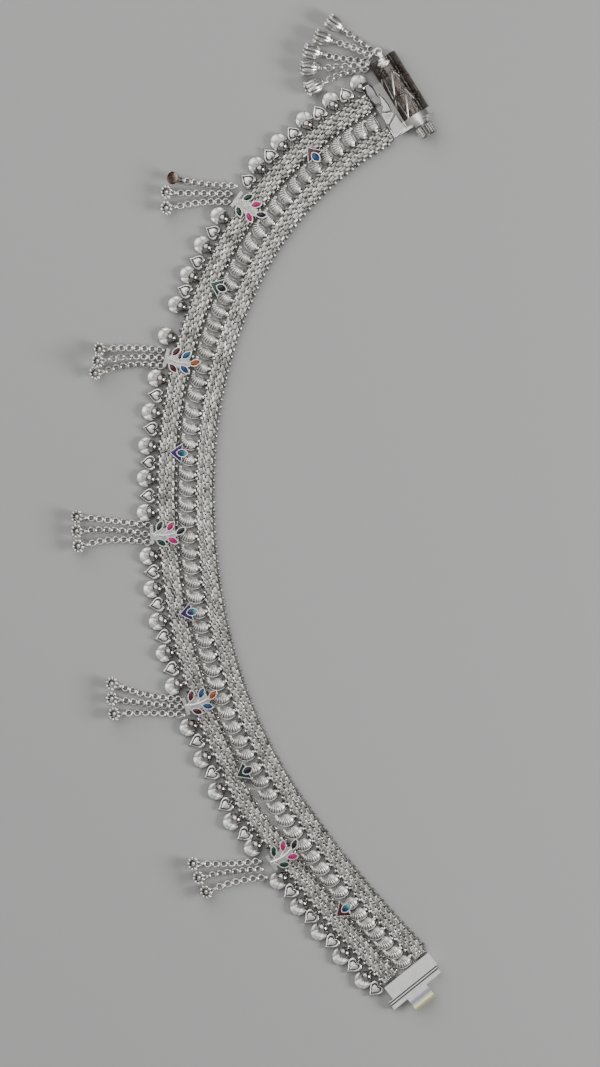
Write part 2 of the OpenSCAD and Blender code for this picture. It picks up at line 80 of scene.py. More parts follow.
# Rows of the fringe as (first place, last place, number, True if the first is a fan)
FRINGE_RUNS = (
    (-4.7, -4.7, 1, True), (-0.3, 27.7, 9, False), (37.5, 66.7, 9, True), (76.6, 107.5, 9, True),
    (117.8, 148.5, 9, True), (158.4, 190.1, 9, True), (200, 235.9, 10, True),
)
LOST_HEART = (2, 7)
LEAF_PLACES = (32.6, 71.6, 112.9, 153.9, 195.7)
TULIP_PLACES = (13.5, 51.9, 93.2, 132.5, 173.6, 215.9)
# Leaves of a sprig as (x, distance from the inner edge, heading in degrees)
LEAF_CELLS = (
    (0.5, 9, -60), (1.9, 11.6, -40), (-1.8, 11.2, -119), (2.15, 14.4, -32), (-2.2, 14.2, -125),
)
LEAF_COLOURS = (
    ("black", "pink", "pink", "green", "green"),
    ("orange", "blue", "blue", "red", "red"),
)
TULIP_COLOURS = (
    ("red", "blue"), ("green", "black"), ("violet", "cyan"), ("violet", "cyan"),
    ("green", "black"), ("red", "cyan"),
)

# Strands as (tassel, root x, root y, middle x, middle y, bell x, bell y, root lift, bell lift)
STRANDS = (
    (1, -5.2, 84.9, -12.4, 85.2, -21.6, 86.8, 0, 0),
    (1, -6.2, 82.8, -13.1, 82.9, -23.4, 83.1, 0, 0),
    (1, -6.7, 80.7, -13.9, 80.6, -23.4, 78.9, 0, 0),
    (2, -23.9, 42.1, -31.9, 42.7, -40.8, 42.3, 0, 0),
    (2, -24, 40, -31.9, 40.5, -41.2, 39.1, 0, 2.4),
    (2, -23.7, 37.9, -31.9, 38.3, -41.9, 36, 0, 0),
    (3, -26.9, -3.6, -36.3, -2.3, -46.7, -1.2, 0, 0),
    (3, -27.6, -5.9, -37.1, -4.7, -46.7, -5, 0, 0),
    (3, -27.1, -8.1, -36, -7.2, -46.3, -8.9, 0, 0),
    (4, -19.1, -48.8, -27.7, -47.6, -37.6, -44.5, 0, 0),
    (4, -18.7, -50.8, -27.7, -49.9, -37.6, -48.5, 0, 0),
    (4, -18.8, -52.8, -27.4, -52.2, -37, -52.5, 0, 0),
    (5, 1.1, -90.8, -7.7, -91.5, -16.4, -91.4, 0, 0),
    (5, 1.6, -92.9, -6.9, -93.7, -15, -95.1, 0, 0),
    (5, 2.6, -95, -5.1, -96.2, -13.1, -98.8, 0, 0),
    (6, 30.8, 119.8, 26.4, 123.1, 18.7, 128.2, 0, 0),
    (6, 29.8, 118.5, 24.9, 121, 15.3, 123.9, 2, 0),
    (6, 29.5, 117.3, 23.3, 117.9, 12.5, 120.1, 0, 0),
    (6, 29, 116.3, 22.7, 115.8, 11.7, 115.3, 2.1, 0),
    (6, 29.3, 115.3, 23.8, 114.4, 13.1, 109.7, 0, 0),
)
CHAIN_D, NECK_R, REST = 1.85, 0.5, 0.02
STRAND_GAP, LIFT_GAP = 0.2, 0.2
PETALS = 9
BUNCH = 6
# Bells on the sprigs and in the clasp's bunch: how wide, how high, and how far their axis rises
BELL_D, BELL_H, BELL_RISE = 3.7, 4, radians(55)
BUNCH_BELL_D, BUNCH_BELL_H, BUNCH_RISE = 4.3, 5.6, radians(10)

CLASP_S = -13.3
BARREL_R, BARREL_TOP = 3.85, 5.2
# Where the barrel meets its end plate along X, how far its plain end band reaches along Y, and
# where the lug begins
PLATE_EDGE, PLAIN_END, LUG_EDGE = -3.75, 3.25, 20.4
# The tongue's place, turn in degrees, and where its rolled end begins along X
TONGUE_S, TONGUE_MID, TONGUE_TURN, ROLL_EDGE = 237.85, 8.3, -5, -8.2
# Colours across the tongue plate, from one X to another, softened beyond them by a third number
TONGUE_SHADES = (
    (-4.25, -3.9, 0.06, (0.13, 0.14, 0.125)), (-4.95, -4.6, 0.06, (0.13, 0.14, 0.125)),
    (-7.9, -7.3, 0.5, (0.46, 0.48, 0.54)), (-11, -8.55, 0.5, (0.6, 0.595, 0.36)),
)
# Raised lines on the barrel, each from one pixel of the photograph to another, and their width.
# The first two are the lug's foot
BARREL_LINES = (
    (380.4, 59.4, 385.2, 67.4, 2.6), (377.3, 66.4, 389, 61.8, 1), (392.7, 72.3, 399.4, 77.2, 0.5),
    (391.3, 73.7, 394.5, 98.2, 0.52), (381.5, 80, 383.6, 94.7, 0.46),
    (395.2, 101, 396.9, 111.6, 0.5), (404.3, 89.1, 414.1, 99.6, 0.5),
    (405.4, 95.4, 408.5, 122.8, 0.52), (383.2, 80, 393.8, 101, 0.26),
    (396.6, 101.8, 407.1, 117.2, 0.26),
)
# Raised panels on the clasp's plate: corners as pixels of the photograph, and height
PLATE_PANELS = {
    "bar": (((364.5, 86.5), (368.5, 84.5), (372.5, 88), (377.5, 97), (380, 105), (376.5, 107),
             (371, 101), (366.5, 94)), 0.2),
    "oblong": (((370.5, 97.5), (373.5, 96.5), (377, 99.5), (378.8, 103.5), (376.5, 105),
                (373, 102.5)), 0.42),
    "petal": (((379.5, 95), (383.5, 99), (388, 105), (391, 111), (386, 112), (382, 111.5),
               (382.5, 106)), 0.26),
    "triangle": (((381.5, 114), (393.5, 113), (387.5, 125)), 0.34),
    "kite": (((396, 115), (406, 128), (396, 137.5), (389.5, 126)), 0.36),
}
DULL_PANELS = ("bar", "oblong")
# Bright wires along those panels' lit edges, as painted highlights: panel, first and last corner,
# and wire
PANEL_EDGES = (
    ("kite", 1, 2, 0.2), ("kite", 3, 0, 0.1), ("kite", 2, 3, 0.1), ("triangle", 0, 1, 0.16),
    ("triangle", 1, 2, 0.12), ("triangle", 2, 0, 0.12), ("petal", 0, 6, 0.1), ("petal", 5, 4, 0.1),
    ("bar", 0, 1, 0.1),
)


# ---- Places ----


def edge(s):
    """x, y and heading at s on the inner edge, which is straight before and after its bends."""
    x, y, heading = START
    for length, radius in BENDS:
        step = min(max(s, 0), length) / radius
        x += radius * (sin(heading + step) - sin(heading))
        y -= radius * (cos(heading + step) - cos(heading))
        heading += step
        s -= step * radius
    return x + s * cos(heading), y + s * sin(heading), heading


def away(s):
    """How far the outer band stands away from the shells at s."""
    place, half, far = BOW
    return far * cos(pi / 2 * (s - place) / half) ** 2 if abs(s - place) < half else 0


def seat(s, off, z=0.0, turn=0.0):
    """Matrix that puts a shape at a place on the anklet, in mm."""
    x, y, heading = edge(s)
    spot = Matrix.Translation((x + off * sin(heading), y - off * cos(heading), z))
    return spot @ Matrix.Rotation(heading + pi + turn, 4, "Z")


def spread(first, last, count):
    return [first] if count == 1 else list(np.linspace(first, last, count))


def run_along(line):
    """How far it is along a line to each of its points."""
    return np.append(0, np.cumsum(np.linalg.norm(np.diff(line, axis=0), axis=1)))


def spaced(first, last, off, pitch):
    """Places from first to last, both included, about a pitch apart along the line at off."""
    fine = np.linspace(first, last, 1000)
    run = run_along([seat(s, off).translation[:2] for s in fine])
    count = round(run[-1] / pitch)
    return list(np.interp(np.arange(count + 1) * run[-1] / count, run, fine))


def from_photo(across, down):
    """A pixel of the photograph as x and y in mm."""
    return (across - PHOTO_ORIGIN[0]) * PIXEL, (PHOTO_ORIGIN[1] - down) * PIXEL


def fringe_places(fans):
    """Places of the fans, or of the hearts, along the fringe."""
    found = []
    for row, (first, last, count, fan_first) in enumerate(FRINGE_RUNS):
        for i, s in enumerate(spread(first, last, count)):
            if ((i + fan_first) % 2 == 1) == fans and (row, i) != LOST_HEART:
                found.append(s)
    return found


def tilt(x=0.0, y=0.0, z=0.0):
    """Turns in degrees about X, then Y, then Z."""
    about_x, about_y, about_z = (
        Matrix.Rotation(radians(turn), 4, axis) for turn, axis in zip((x, y, z), "XYZ"))
    return about_z @ about_y @ about_x


def swung(sway):
    """A random turn, in radians, of up to that many degrees to either side."""
    return radians(dice.uniform(-sway, sway))


def shift(x, y, z):
    return Matrix.Translation((x, y, z))


def size(x, y, z):
    return Matrix.Diagonal((x, y, z, 1))


# ---- Shapes, modelled once ----


def begin(primitive, **settings):
    """A new primitive, with nothing else selected."""
    bpy.ops.object.select_all(action="DESELECT")
    primitive(**settings)
    return bpy.context.object


def pick(obj, test):
    """Edit mode, with only those faces selected whose centre and normal pass the test."""
    bpy.ops.object.mode_set(mode="OBJECT")
    for part in (obj.data.vertices, obj.data.edges):
        part.foreach_set("select", [False] * len(part))
    for face in obj.data.polygons:
        face.select = test(face.center, face.normal)
    bpy.ops.object.mode_set(mode="EDIT")


def flat_face(outline, z=0.0):
    """A flat face with the outline given, selected so that it can be stepped up."""
    face = begin(
        bpy.ops.mesh.primitive_circle_add, vertices=len(outline), radius=1, fill_type="NGON",
    )
    for v, (x, y) in zip(face.data.vertices, outline):
        v.co = (x, y, z)
    pick(face, lambda centre, normal: True)
    return face


def step_up(steps, height=1.0, middle=(0, 0)):
    """Extrudes the selected faces in steps, each a share of the height, and scales them in plan
    about a middle after each."""
    for rise, scale in steps:
        bpy.ops.mesh.extrude_region_move(TRANSFORM_OT_translate={"value": (0, 0, rise * height)})
        bpy.ops.transform.resize(value=(scale, scale, 1), center_override=(*middle, 0))


def take(obj, wear_and_shade=None):
    """The finished shape as points, corners, the start of each face, and each point's level of wear
    and painted light: 1 where it is bright with wear and painted highlight, 0 where patina and
    painted shade keep it dark. Its object goes."""
    if obj.mode == "EDIT":
        bpy.ops.mesh.select_all(action="SELECT")
        bpy.ops.mesh.normals_make_consistent(inside=False)
        bpy.ops.object.mode_set(mode="OBJECT")
    mesh = obj.data
    points = np.empty(len(mesh.vertices) * 3)
    mesh.vertices.foreach_get("co", points)
    corners = np.empty(len(mesh.loops), np.int64)
    mesh.loops.foreach_get("vertex_index", corners)
    starts = np.empty(len(mesh.polygons), np.int64)
    mesh.polygons.foreach_get("loop_start", starts)
    bpy.data.objects.remove(obj)
    points = points.reshape(-1, 3)
    return points, corners, starts, np.array([wear_and_shade(*p) if wear_and_shade else 1.0 for p in points]).clip(0, 1)


def skin(rings, wear_and_shade=None):
    """A closed skin over rings of equally many points, counted anticlockwise from its end."""
    points = np.array(rings, float)
    last, n = points.shape[0] - 1, points.shape[1]
    faces = [list(range(n - 1, -1, -1))]
    for i in range(last):
        for k in range(n):
            next_k = (k + 1) % n
            faces.append([i * n + k, i * n + next_k, (i + 1) * n + next_k, (i + 1) * n + k])
    faces.append([last * n + k for k in range(n)])
    sizes = np.array([len(f) for f in faces])
    wear_and_light = np.ones(points[..., 0].size) if wear_and_shade is None else np.array(wear_and_shade, float).ravel()
    return points.reshape(-1, 3), np.concatenate(faces), np.cumsum(sizes) - sizes, wear_and_light


def moved(shape, matrix):
    m = np.array(matrix)
    return shape[0] @ m[:3, :3].T + m[:3, 3], *shape[1:]


def joined(*shapes):
    """Several shapes as one."""
    points, corners, starts, wear_and_light = [], [], [], []
    for co, loops, firsts, wear_and_shade in shapes:
        corners.append(loops + sum(map(len, points)))
        starts.append(firsts + sum(map(len, corners[:-1])))
        points.append(co)
        wear_and_light.append(wear_and_shade)
    return np.vstack(points), *map(np.concatenate, (corners, starts, wear_and_light))


def ring(radius, wire, around=12, sides=6):
    """Round wire ring, flat, dark on the inside with patina and painted shade."""
    loop = begin(
        bpy.ops.mesh.primitive_torus_add, major_radius=radius, minor_radius=wire,
        major_segments=around, minor_segments=sides,
    )
    return take(loop, lambda x, y, z: (hypot(x, y) - radius) / wire + 0.75)


def bead(radius, around=16, up=10, wear_and_shade=None):
    return take(begin(
        bpy.ops.mesh.primitive_uv_sphere_add, radius=radius, segments=around, ring_count=up,
    ), wear_and_shade)


def brick(length, width, height, crown):
    """Rounded brick of woven wire, with its foot at z = 0 and a crowned top. It darkens towards its
    foot with patina and painted shade.
    """
    block = begin(bpy.ops.mesh.primitive_cube_add, size=1)
    block.data.transform(size(length, width, height) @ shift(0, 0, 0.5))
    pick(block, lambda centre, normal: normal.z > 0.9)
    step_up(((0.6, 0.84), (0.3, 0.7), (0.1, 0.5)), crown)
    return take(block, lambda x, y, z: (z / height - 0.5) / 0.5)


def heart_outline(t):
    """Point outward, lobes at y = 0, 1 wide and 1 long, at the angle t."""
    return (sin(t) ** 3 / 2, (12 - 13 * cos(t) + 5 * cos(2 * t) + 2 * cos(3 * t) + cos(4 * t)) / 29)


def heart_drop(width=4.1, length=4.4):
    """Heart drop: broad rounded rim, narrow groove and a raised heart inside it. It is darker the
    lower it lies, with patina and painted shade in the groove.
    """
    corners, back = 36, 0.1
    outline = [heart_outline(2 * pi * i / corners) for i in range(corners)]
    heart = flat_face([(x * width, y * length) for x, y in outline], back)
    levels = (  # height, and how wide as a share of the outline
        (back, 1), (0.72, 1), (0.98, 0.955), (1.1, 0.88), (1.13, 0.79), (1.05, 0.72), (0.66, 0.675),
        (0.62, 0.6), (0.98, 0.55), (1.14, 0.48), (1.22, 0.3), (1.24, 0.1),
    )
    step_up([(z - low, share / wide) for (low, wide), (z, share) in zip(levels, levels[1:])],
            middle=(0, 1.95))
    return take(heart, lambda x, y, z: (z - 0.6) / 0.45)


def fan_disc(radius=2.27):
    """Frosted fan: a disc cut to a wide V, its face creased into three."""
    # How far out the disc's centre is, how far the V's point is from it, and the slope of the V
    centre, apex, fall = 2.8, 0.05, 0.554
    low = radians(-29)
    stations = 25
    reach = radius * cos(low)
    rings, wear_and_shade = [], []
    for i in range(stations):
        t = i / (stations - 1)
        angle = low + t * (pi - 2 * low)
        rim = Vector((radius * cos(angle), radius * sin(angle)))
        inner_x = (1 - 2 * t) * reach
        inner = Vector((inner_x, apex - fall * abs(inner_x)))
        if i in (0, stations - 1):
            rim = inner + (rim - inner).normalized() * 0.06
        crown = 0.3 * sin(pi * ((t * 3) % 1)) if 0 < t < 1 else 0
        # Darker along the two creases between the three faces, as painted shade
        creased = 0.45 if i % 8 == 0 and 0 < t < 1 else 1
        profile = (  # share of the way from the V to the rim, height, how bright; the edges are darker as painted shade
            (0.0, 0.3, 0.3), (0.0, 1.2, 0.8), (0.07, 1.3, 1), (0.5, 1.3 + crown, 1),
            (0.88, 1.2 + crown / 2, 1), (1.0, 0.95, 0.75), (1.0, 0.3, 0.3),
        )
        rings.append([
            (*(inner + (rim - inner) * share) + Vector((0, centre)), height)
            for share, height, wear_and_light in profile
        ])
        wear_and_shade.append([creased * wear_and_light for share, height, wear_and_light in profile])
    return skin(rings, wear_and_shade)


# A shell's spine, fat end to tail, as (x, y, half width, height, heading in degrees)
SHELL_SPINE = (
    (-0.12, -2.3, 0.95, 0.95, 90), (-0.15, -1.5, 1.5, 1.42, 88), (-0.1, -0.3, 1.65, 1.5, 80),
    (0.2, 0.6, 1.45, 1.3, 60), (0.75, 1.3, 1.05, 1.1, 38), (1.35, 1.6, 0.75, 0.95, 15),
    (2, 1.62, 0.4, 0.5, 0),
)


def along_table(table, t):
    """A row between the rows of a table, on a smooth curve, at t from 0 to 1."""
    rows = np.array(table, float)
    place = t * (len(rows) - 1)
    i = min(int(place), len(rows) - 2)
    f = place - i
    before, here, there, after = (
        rows[max(0, min(len(rows) - 1, j))] for j in (i - 1, i, i + 1, i + 2))
    return (
        here + 0.5 * f * (there - before)
        + f * f * (before - 2.5 * here + 2 * there - 0.5 * after)
        + f * f * f * (-0.5 * before + 1.5 * here - 1.5 * there + 0.5 * after)
    )


def shell(ribs=10, stations=61):
    """Paisley shell: flat back, domed front with ribs across it and a raised border. It is smooth
    at its fat end, and its tail ends in a knob."""
    shares = np.linspace(0, 1, 200)
    run = run_along([along_table(SHELL_SPINE, t)[:2] for t in shares])
    half_profile = (  # how far across, how high, how bright with wear and painted light, share of the ribs
        (1, 0.0, 0.1, 0), (1, 0.38, 0.9, 0), (0.95, 0.52, 1, 0), (0.88, 0.5, 0.7, 0),
        (0.82, 0.56, 0.5, 0.3), (0.48, 0.88, 0.78, 1), (0, 1.0, 0.8, 1),
    )
    profile = half_profile + tuple((-across, *rest) for across, *rest in half_profile[-2::-1])
    rings, wear_and_shade = [], []
    for i in range(stations):
        t = i / (stations - 1)
        place = np.interp(t * run[-1], run, shares)
        x, y, half, height, heading = along_table(SHELL_SPINE, place)
        heading = radians(heading)
        fade = min(1, max(0, 6 * t - 1.1)) * min(1, 4 * (1 - t))
        wave = sin(2 * pi * ribs * t) * fade
        rings.append([
            (x + across * half * sin(heading), y - across * half * cos(heading),
             0.12 + share * height + 0.08 * wave * ribbed)
            for across, share, wear_and_light, ribbed in profile
        ])
        # Darker between the ribs with patina and painted shade, and lighter where the ribs fade,
        # most on the smooth fat end, as a painted highlight
        wear_and_shade.append([
            wear_and_light + ribbed * (0.62 * wave - 0.06 + 0.26 * (1 - fade))
            for across, share, wear_and_light, ribbed in profile
        ])
    knob = moved(bead(0.5, 12, 8), shift(2.05, 1.6, 0.6))
    return joined(skin(rings, wear_and_shade), knob)


def bell(across, tall, collar=None, swell=0.0, fluting=1.0):
    """Petalled bell with a rounded bead on each petal and a boss inside. A collar is a ridge round
    it at a share of its height. It may swell in the middle and draw in at the mouth, and be fluted
    less deeply."""
    # Radius and height as shares of the mouth's radius and of the height, scallop, how bright with
    # wear and painted light
    outside = [
        (0.2, 0, 0, 0.6), (0.3, 0.03, 0, 1), (0.36, 0.16, 0, 0.7), (0.55, 0.25, 0.04, 0.9),
        (0.72, 0.38, 0.12, 0.9), (0.82, 0.6, 0.17, 0.8), (0.9, 0.8, 0.2, 0.7),
        (0.97, 0.9, 0.18, 0.8),
    ]
    inside = [
        (0.86, 0.94, 0.2, 0.5), (0.74, 0.88, 0.12, 0.2), (0.6, 0.78, 0.06, 0.1),
        (0.4, 0.76, 0, 0.3),
    ]
    if collar:
        radii, heights = zip(*(row[:2] for row in outside))
        radius = float(np.interp(collar, heights, radii))
        ridge = ((-0.07, -0.05, 0.3), (-0.03, 0.05, 1), (0.03, 0.06, 1), (0.07, -0.03, 0.3))
        outside += [(radius + out, collar + up, 0.14, wear_and_light) for up, out, wear_and_light in ridge]
        outside.sort(key=lambda row: row[1])
    sides = 6 * PETALS
    rings, wear_and_shade = [], []
    for radius, height, scallop, wear_and_light in outside + inside:
        rings.append([])
        wear_and_shade.append([])
        for k in range(sides):
            a = 2 * pi * k / sides
            hollow = 1 - abs(cos(PETALS * a / 2))
            # The swell is greatest halfway up, and draws in at the mouth
            fuller = radius + swell * sin(1.25 * pi * height**1.4)
            r = across / 2 * fuller * (1 - fluting * scallop * hollow)
            rings[-1].append((r * cos(a), r * sin(a), height * tall))
            # Darker in the flutes' hollows and on the inside rows, as patina and painted shade
            wear_and_shade[-1].append(max(0, wear_and_light + 0.1 - 4 * scallop * hollow**2))
    tips = [
        moved(bead(0.5, 10, 7), Matrix.Rotation(2 * pi * k / PETALS, 4, "Z")
              @ shift(across * 0.4, 0, tall - 0.36) @ size(1, 0.95, 0.8))
        for k in range(PETALS)
    ]
    boss = moved(bead(0.72, 14, 8), shift(0, 0, tall * 0.78))
    neck = moved(ring(0.45, 0.16, 12, 6), shift(0, 0, 0.35))
    return joined(skin(rings, wear_and_shade), boss, neck, *tips)


def plain_cup():
    """The strand's end without petals: collar, short cone and a flat face in a thin rim."""
    cup = begin(bpy.ops.mesh.primitive_circle_add, vertices=32, radius=0.45, fill_type="NGON")
    pick(cup, lambda centre, normal: True)
    step_up((
        (0.25, 1.35), (0.5, 1.0), (0.12, 0.9), (0.5, 1.5), (1.4, 1.5), (0.95, 1.38), (0.28, 1.0),
        (0.02, 0.93), (-0.22, 0.98), (0.08, 0.5),
    ))
    return take(cup)


# ---- Joined meshes ----


def put(name, data):
    """A new object in the scene."""
    obj = bpy.data.objects.new(name, data)
    bpy.context.scene.collection.objects.link(obj)
    return obj


def gather(name, copies, materials, replaces=(), crease=35, body="root"):
    """One piece from copies of shapes, given as (shape, matrix in mm, number of its material)."""
    points, corners, starts, numbers, tones, wear_and_light = [], [], [], [], [], []
    point_count = corner_count = 0
    for (co, loops, firsts, wear_and_shade), matrix, number in copies:
        m = np.array(matrix)
        points.append((co @ m[:3, :3].T + m[:3, 3]) * MM)
        corners.append(loops + point_count)
        starts.append(firsts + corner_count)
        numbers.append(np.full(len(firsts), number))
        tones.append(np.full(len(co), dice.random()))
        wear_and_light.append(wear_and_shade)
        point_count += len(co)
        corner_count += len(loops)
    mesh = bpy.data.meshes.new(name)
    mesh.vertices.add(point_count)
    mesh.vertices.foreach_set("co", np.vstack(points).astype(np.float32).ravel())
    mesh.loops.add(corner_count)
    mesh.loops.foreach_set("vertex_index", np.concatenate(corners).astype(np.int32))
    mesh.polygons.add(sum(map(len, starts)))
    mesh.polygons.foreach_set("loop_start", np.concatenate(starts).astype(np.int32))
    mesh.polygons.foreach_set("material_index", np.concatenate(numbers).astype(np.int32))
    for key, values in (("tone", tones), ("wear_and_shade", wear_and_light)):
        mesh.attributes.new(key, "FLOAT", "POINT").data.foreach_set(
            "value", np.concatenate(values).astype(np.float32))
    mesh.update(calc_edges=True)
    for material in materials:
        mesh.materials.append(material)
    obj = put(name, mesh)
    bpy.ops.object.select_all(action="DESELECT")
    obj.select_set(True)
    bpy.context.view_layer.objects.active = obj
    bpy.ops.object.shade_smooth_by_angle(angle=radians(crease))
    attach(obj, body)
    if replaces:
        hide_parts(*replaces)


# ---- Materials ----


def plug(node, inputs):
    """Sets a node's inputs to values, or links them to other nodes' outputs."""
    for key, value in inputs.items():
        if isinstance(value, bpy.types.NodeSocket):
            node.id_data.links.new(value, node.inputs[key])
        else:
            node.inputs[key].default_value = value


def add(kind, inputs, **settings):
    """A new node among the nodes that its inputs come from."""
    tree = next(v for v in inputs.values() if isinstance(v, bpy.types.NodeSocket)).id_data
    node = tree.nodes.new(kind)
    for key, value in settings.items():
        setattr(node, key, value)
    plug(node, inputs)
    return node


def new_material(name):
    """A material, its nodes and its shader."""
    material = bpy.data.materials.new(name)
    material.use_nodes = True
    return material, material.node_tree, material.node_tree.nodes["Principled BSDF"]


def object_place(tree):
    """The place on the object, in its own coordinates."""
    return tree.nodes.new("ShaderNodeTexCoord").outputs["Object"]


def attribute(tree, name):
    """One of the two values that a joined mesh has at each point: tone, or the level of wear and
    painted light.
    """
    node = tree.nodes.new("ShaderNodeAttribute")
    node.attribute_name = name
    return node.outputs["Fac"]


def noise(place, feature, detail=4.0, roughness=0.6):
    """Noise whose features are about that many mm."""
    return add("ShaderNodeTexNoise", {
        "Vector": place, "Scale": 1 / (feature * MM), "Detail": detail, "Roughness": roughness,
    }).outputs["Fac"]


def spots(place, feature, randomness=1.0):
    """How far it is to the middle of the nearest of many spots, about that many mm apart."""
    return add("ShaderNodeTexVoronoi", {
        "Vector": place, "Scale": 1 / (feature * MM), "Randomness": randomness,
    }).outputs["Distance"]


def remap(value, low, high, to_low=0, to_high=1):
    return add("ShaderNodeMapRange", {
        "Value": value, "From Min": low, "From Max": high, "To Min": to_low, "To Max": to_high,
    }).outputs["Result"]


def blend(factor, first, second, mode="MIX"):
    colours = {0: factor, 6: first, 7: second}
    return add("ShaderNodeMix", colours, data_type="RGBA", blend_type=mode).outputs[2]


def combine(operation, first, second):
    """One value from two."""
    return add("ShaderNodeMath", {0: first, 1: second}, operation=operation).outputs[0]


def grain_bump(height, strength, depth):
    """Bumps as high as that many mm."""
    inputs = {"Height": height, "Strength": strength, "Distance": depth * MM}
    return add("ShaderNodeBump", inputs).outputs["Normal"]


def own_place(tree, matrix):
    """The place as it lies from a seat on the anklet, and its X, Y and Z."""
    into = matrix.inverted()
    own = add("ShaderNodeMapping", {
        "Vector": object_place(tree), "Location": into.translation * MM,
        "Rotation": into.to_euler(),
    }).outputs["Vector"]
    return own, add("ShaderNodeSeparateXYZ", {"Vector": own}).outputs


# Dark colour for patina in hollows and for painted shade, where a point's level is low
PATINA_AND_SHADE = (0.075, 0.068, 0.06, 1)


def silver(
    name, bright, dull, share, smooth, rough, grain=0.3, depth=0.01, tone=0.0, patch=2.5, pits=0.0,
):
    """Silver with its tarnish: how much of it is dull, its roughness from the smoothest place to
    the roughest, the size and depth of its grain in mm, how much its copies differ in brightness,
    and the size of its tarnish patches and of its dark pits. Only pieces made here have tone, and
    with it dark patina and painted shade where their points' level of wear and painted light is
    low. Pits stop where that level is high."""
    material, tree, shader = new_material(name)
    place = object_place(tree)
    patches = noise(place, patch, 8, 0.7)
    edge_of_dull = 0.5 + (share - 0.5) * 0.4
    tarnish = remap(patches, edge_of_dull - 0.07, edge_of_dull + 0.07, 1, 0)
    colour = blend(tarnish, (*bright, 1), (*dull, 1))
    if tone:
        level = remap(attribute(tree, "tone"), 0, 1, 1 - tone)
        colour = blend(1.0, colour, level, "MULTIPLY")
        # Low levels turn to dark patina and painted shade
        wear_and_shade = attribute(tree, "wear_and_shade")
        colour = blend(wear_and_shade, PATINA_AND_SHADE, colour)
    if pits:
        cells = spots(place, pits)
        pitted = combine("MULTIPLY", remap(cells, 0.12, 0.42, 0.6, 0), remap(wear_and_shade, 0.9, 0.99, 1, 0))
        colour = blend(pitted, colour, PATINA_AND_SHADE)
    fine = noise(place, grain)
    plug(shader, {
        "Base Color": colour, "Roughness": remap(fine, 0.3, 0.7, smooth, rough),
        "Normal": grain_bump(fine, 0.6, depth), "Metallic": 1,
    })
    return material


def between(value, low, high, soft):
    """1 between two values, falling to 0 over a soft distance on either side."""
    return combine("MINIMUM", remap(value, low - soft, low), remap(value, high, high + soft, 1, 0))


def tongue_silver(name):
    """Satin silver, dark in the lip's grooves, bluish where the tongue bends down and yellow where
    it is rolled round the pin's eye."""
    material = silver(name, (0.97, 0.97, 0.94), (0.87, 0.87, 0.84), 0.4, 0.16, 0.28, 0.12, 0.008)
    tree = material.node_tree
    shader = tree.nodes["Principled BSDF"]
    colour, rough = (shader.inputs[key].links[0].from_socket for key in ("Base Color", "Roughness"))
    along = own_place(tree, seat(TONGUE_S, TONGUE_MID) @ tilt(z=TONGUE_TURN))[1]["X"]
    for low, high, soft, shade in TONGUE_SHADES:
        share = between(along, low * MM, high * MM, soft * MM)
        colour = blend(share, colour, (*shade, 1))
    rolled = remap(along, ROLL_EDGE * MM, (ROLL_EDGE - 1) * MM)
    plug(shader, {
        "Base Color": colour, "Roughness": remap(rolled, 0, 1, rough, 0.5), "Metallic": 0.82,
    })
    return material


def clasp_silver(name):
    """Close punched dots in brown tarnish on the barrel, a polished band at one end, a bright lug
    at the other, and a satin plate beside it. The zones lie along the clasp's own X and Y."""
    material, tree, shader = new_material(name)
    place = object_place(tree)
    own, axes = own_place(tree, seat(CLASP_S, 0))
    soft = 0.03 * MM

    def below(axis, limit, here=1, beyond=0):
        limit = limit * MM
        return remap(axes[axis], limit - soft, limit + soft, here, beyond)

    on_plate = below("X", PLATE_EDGE)
    on_band = combine("MAXIMUM", below("Y", PLAIN_END), below("Y", LUG_EDGE, 0, 1))
    plain = combine("MAXIMUM", on_plate, on_band)
    dots = remap(spots(own, 0.42, 0.45), 0.15, 0.42, 1, 0)
    patches = noise(place, 4.0, 6)
    ground = blend(remap(patches, 0.4, 0.6), (0.058, 0.042, 0.037, 1), (0.11, 0.098, 0.082, 1))
    stippled = blend(dots, ground, (0.46, 0.43, 0.4, 1))
    colour = blend(on_plate, stippled, (0.25, 0.247, 0.232, 1))
    colour = blend(on_band, colour, (0.9, 0.89, 0.85, 1))
    rough = remap(on_band, 0, 1, remap(patches, 0.3, 0.7, 0.24, 0.38), 0.28)
    satin = remap(noise(place, 0.15), 0.3, 0.7, 0.4, 0.6)
    relief = blend(plain, dots, satin)
    relief = blend(on_band, relief, (0.5, 0.5, 0.5, 1))
    plug(shader, {
        "Base Color": colour, "Roughness": rough, "Normal": grain_bump(relief, 0.9, 0.05),
        "Metallic": 1,
    })
    return material


def enamel(name, deep, light, tip=None, inner=None):
    """Glossy enamel, lighter in clouds. A drop may be shaded from its tip to its inner end."""
    material, tree, shader = new_material(name)
    place = object_place(tree)
    clouds = remap(noise(place, 1.2, 5), 0.35, 0.65)
    colour = blend(clouds, (*deep, 1), (*light, 1))
    if tip:
        # On a drop the same point value holds how far along the drop each point lies
        along = attribute(tree, "wear_and_shade")
        colour = blend(remap(along, 0.4, 0.7), colour, (*tip, 1))
        colour = blend(remap(along, 0.4, 0.12), colour, (*inner, 1))
    plug(shader, {
        "Base Color": colour,
        "Roughness": remap(noise(place, 0.5), 0.3, 0.7, 0.08, 0.2),
        "Normal": grain_bump(noise(place, 0.8), 0.4, 0.03),
        "Specular IOR Level": 0.3, "Coat Weight": 0.2, "Coat Roughness": 0.04,
    })
    return material


# Silvers, with their values in silver()'s order
WOVEN = silver(
    "woven_silver", (0.5, 0.495, 0.465), (0.34, 0.33, 0.3), 0.35, 0.28, 0.44, 0.35, 0.02, 0.4)
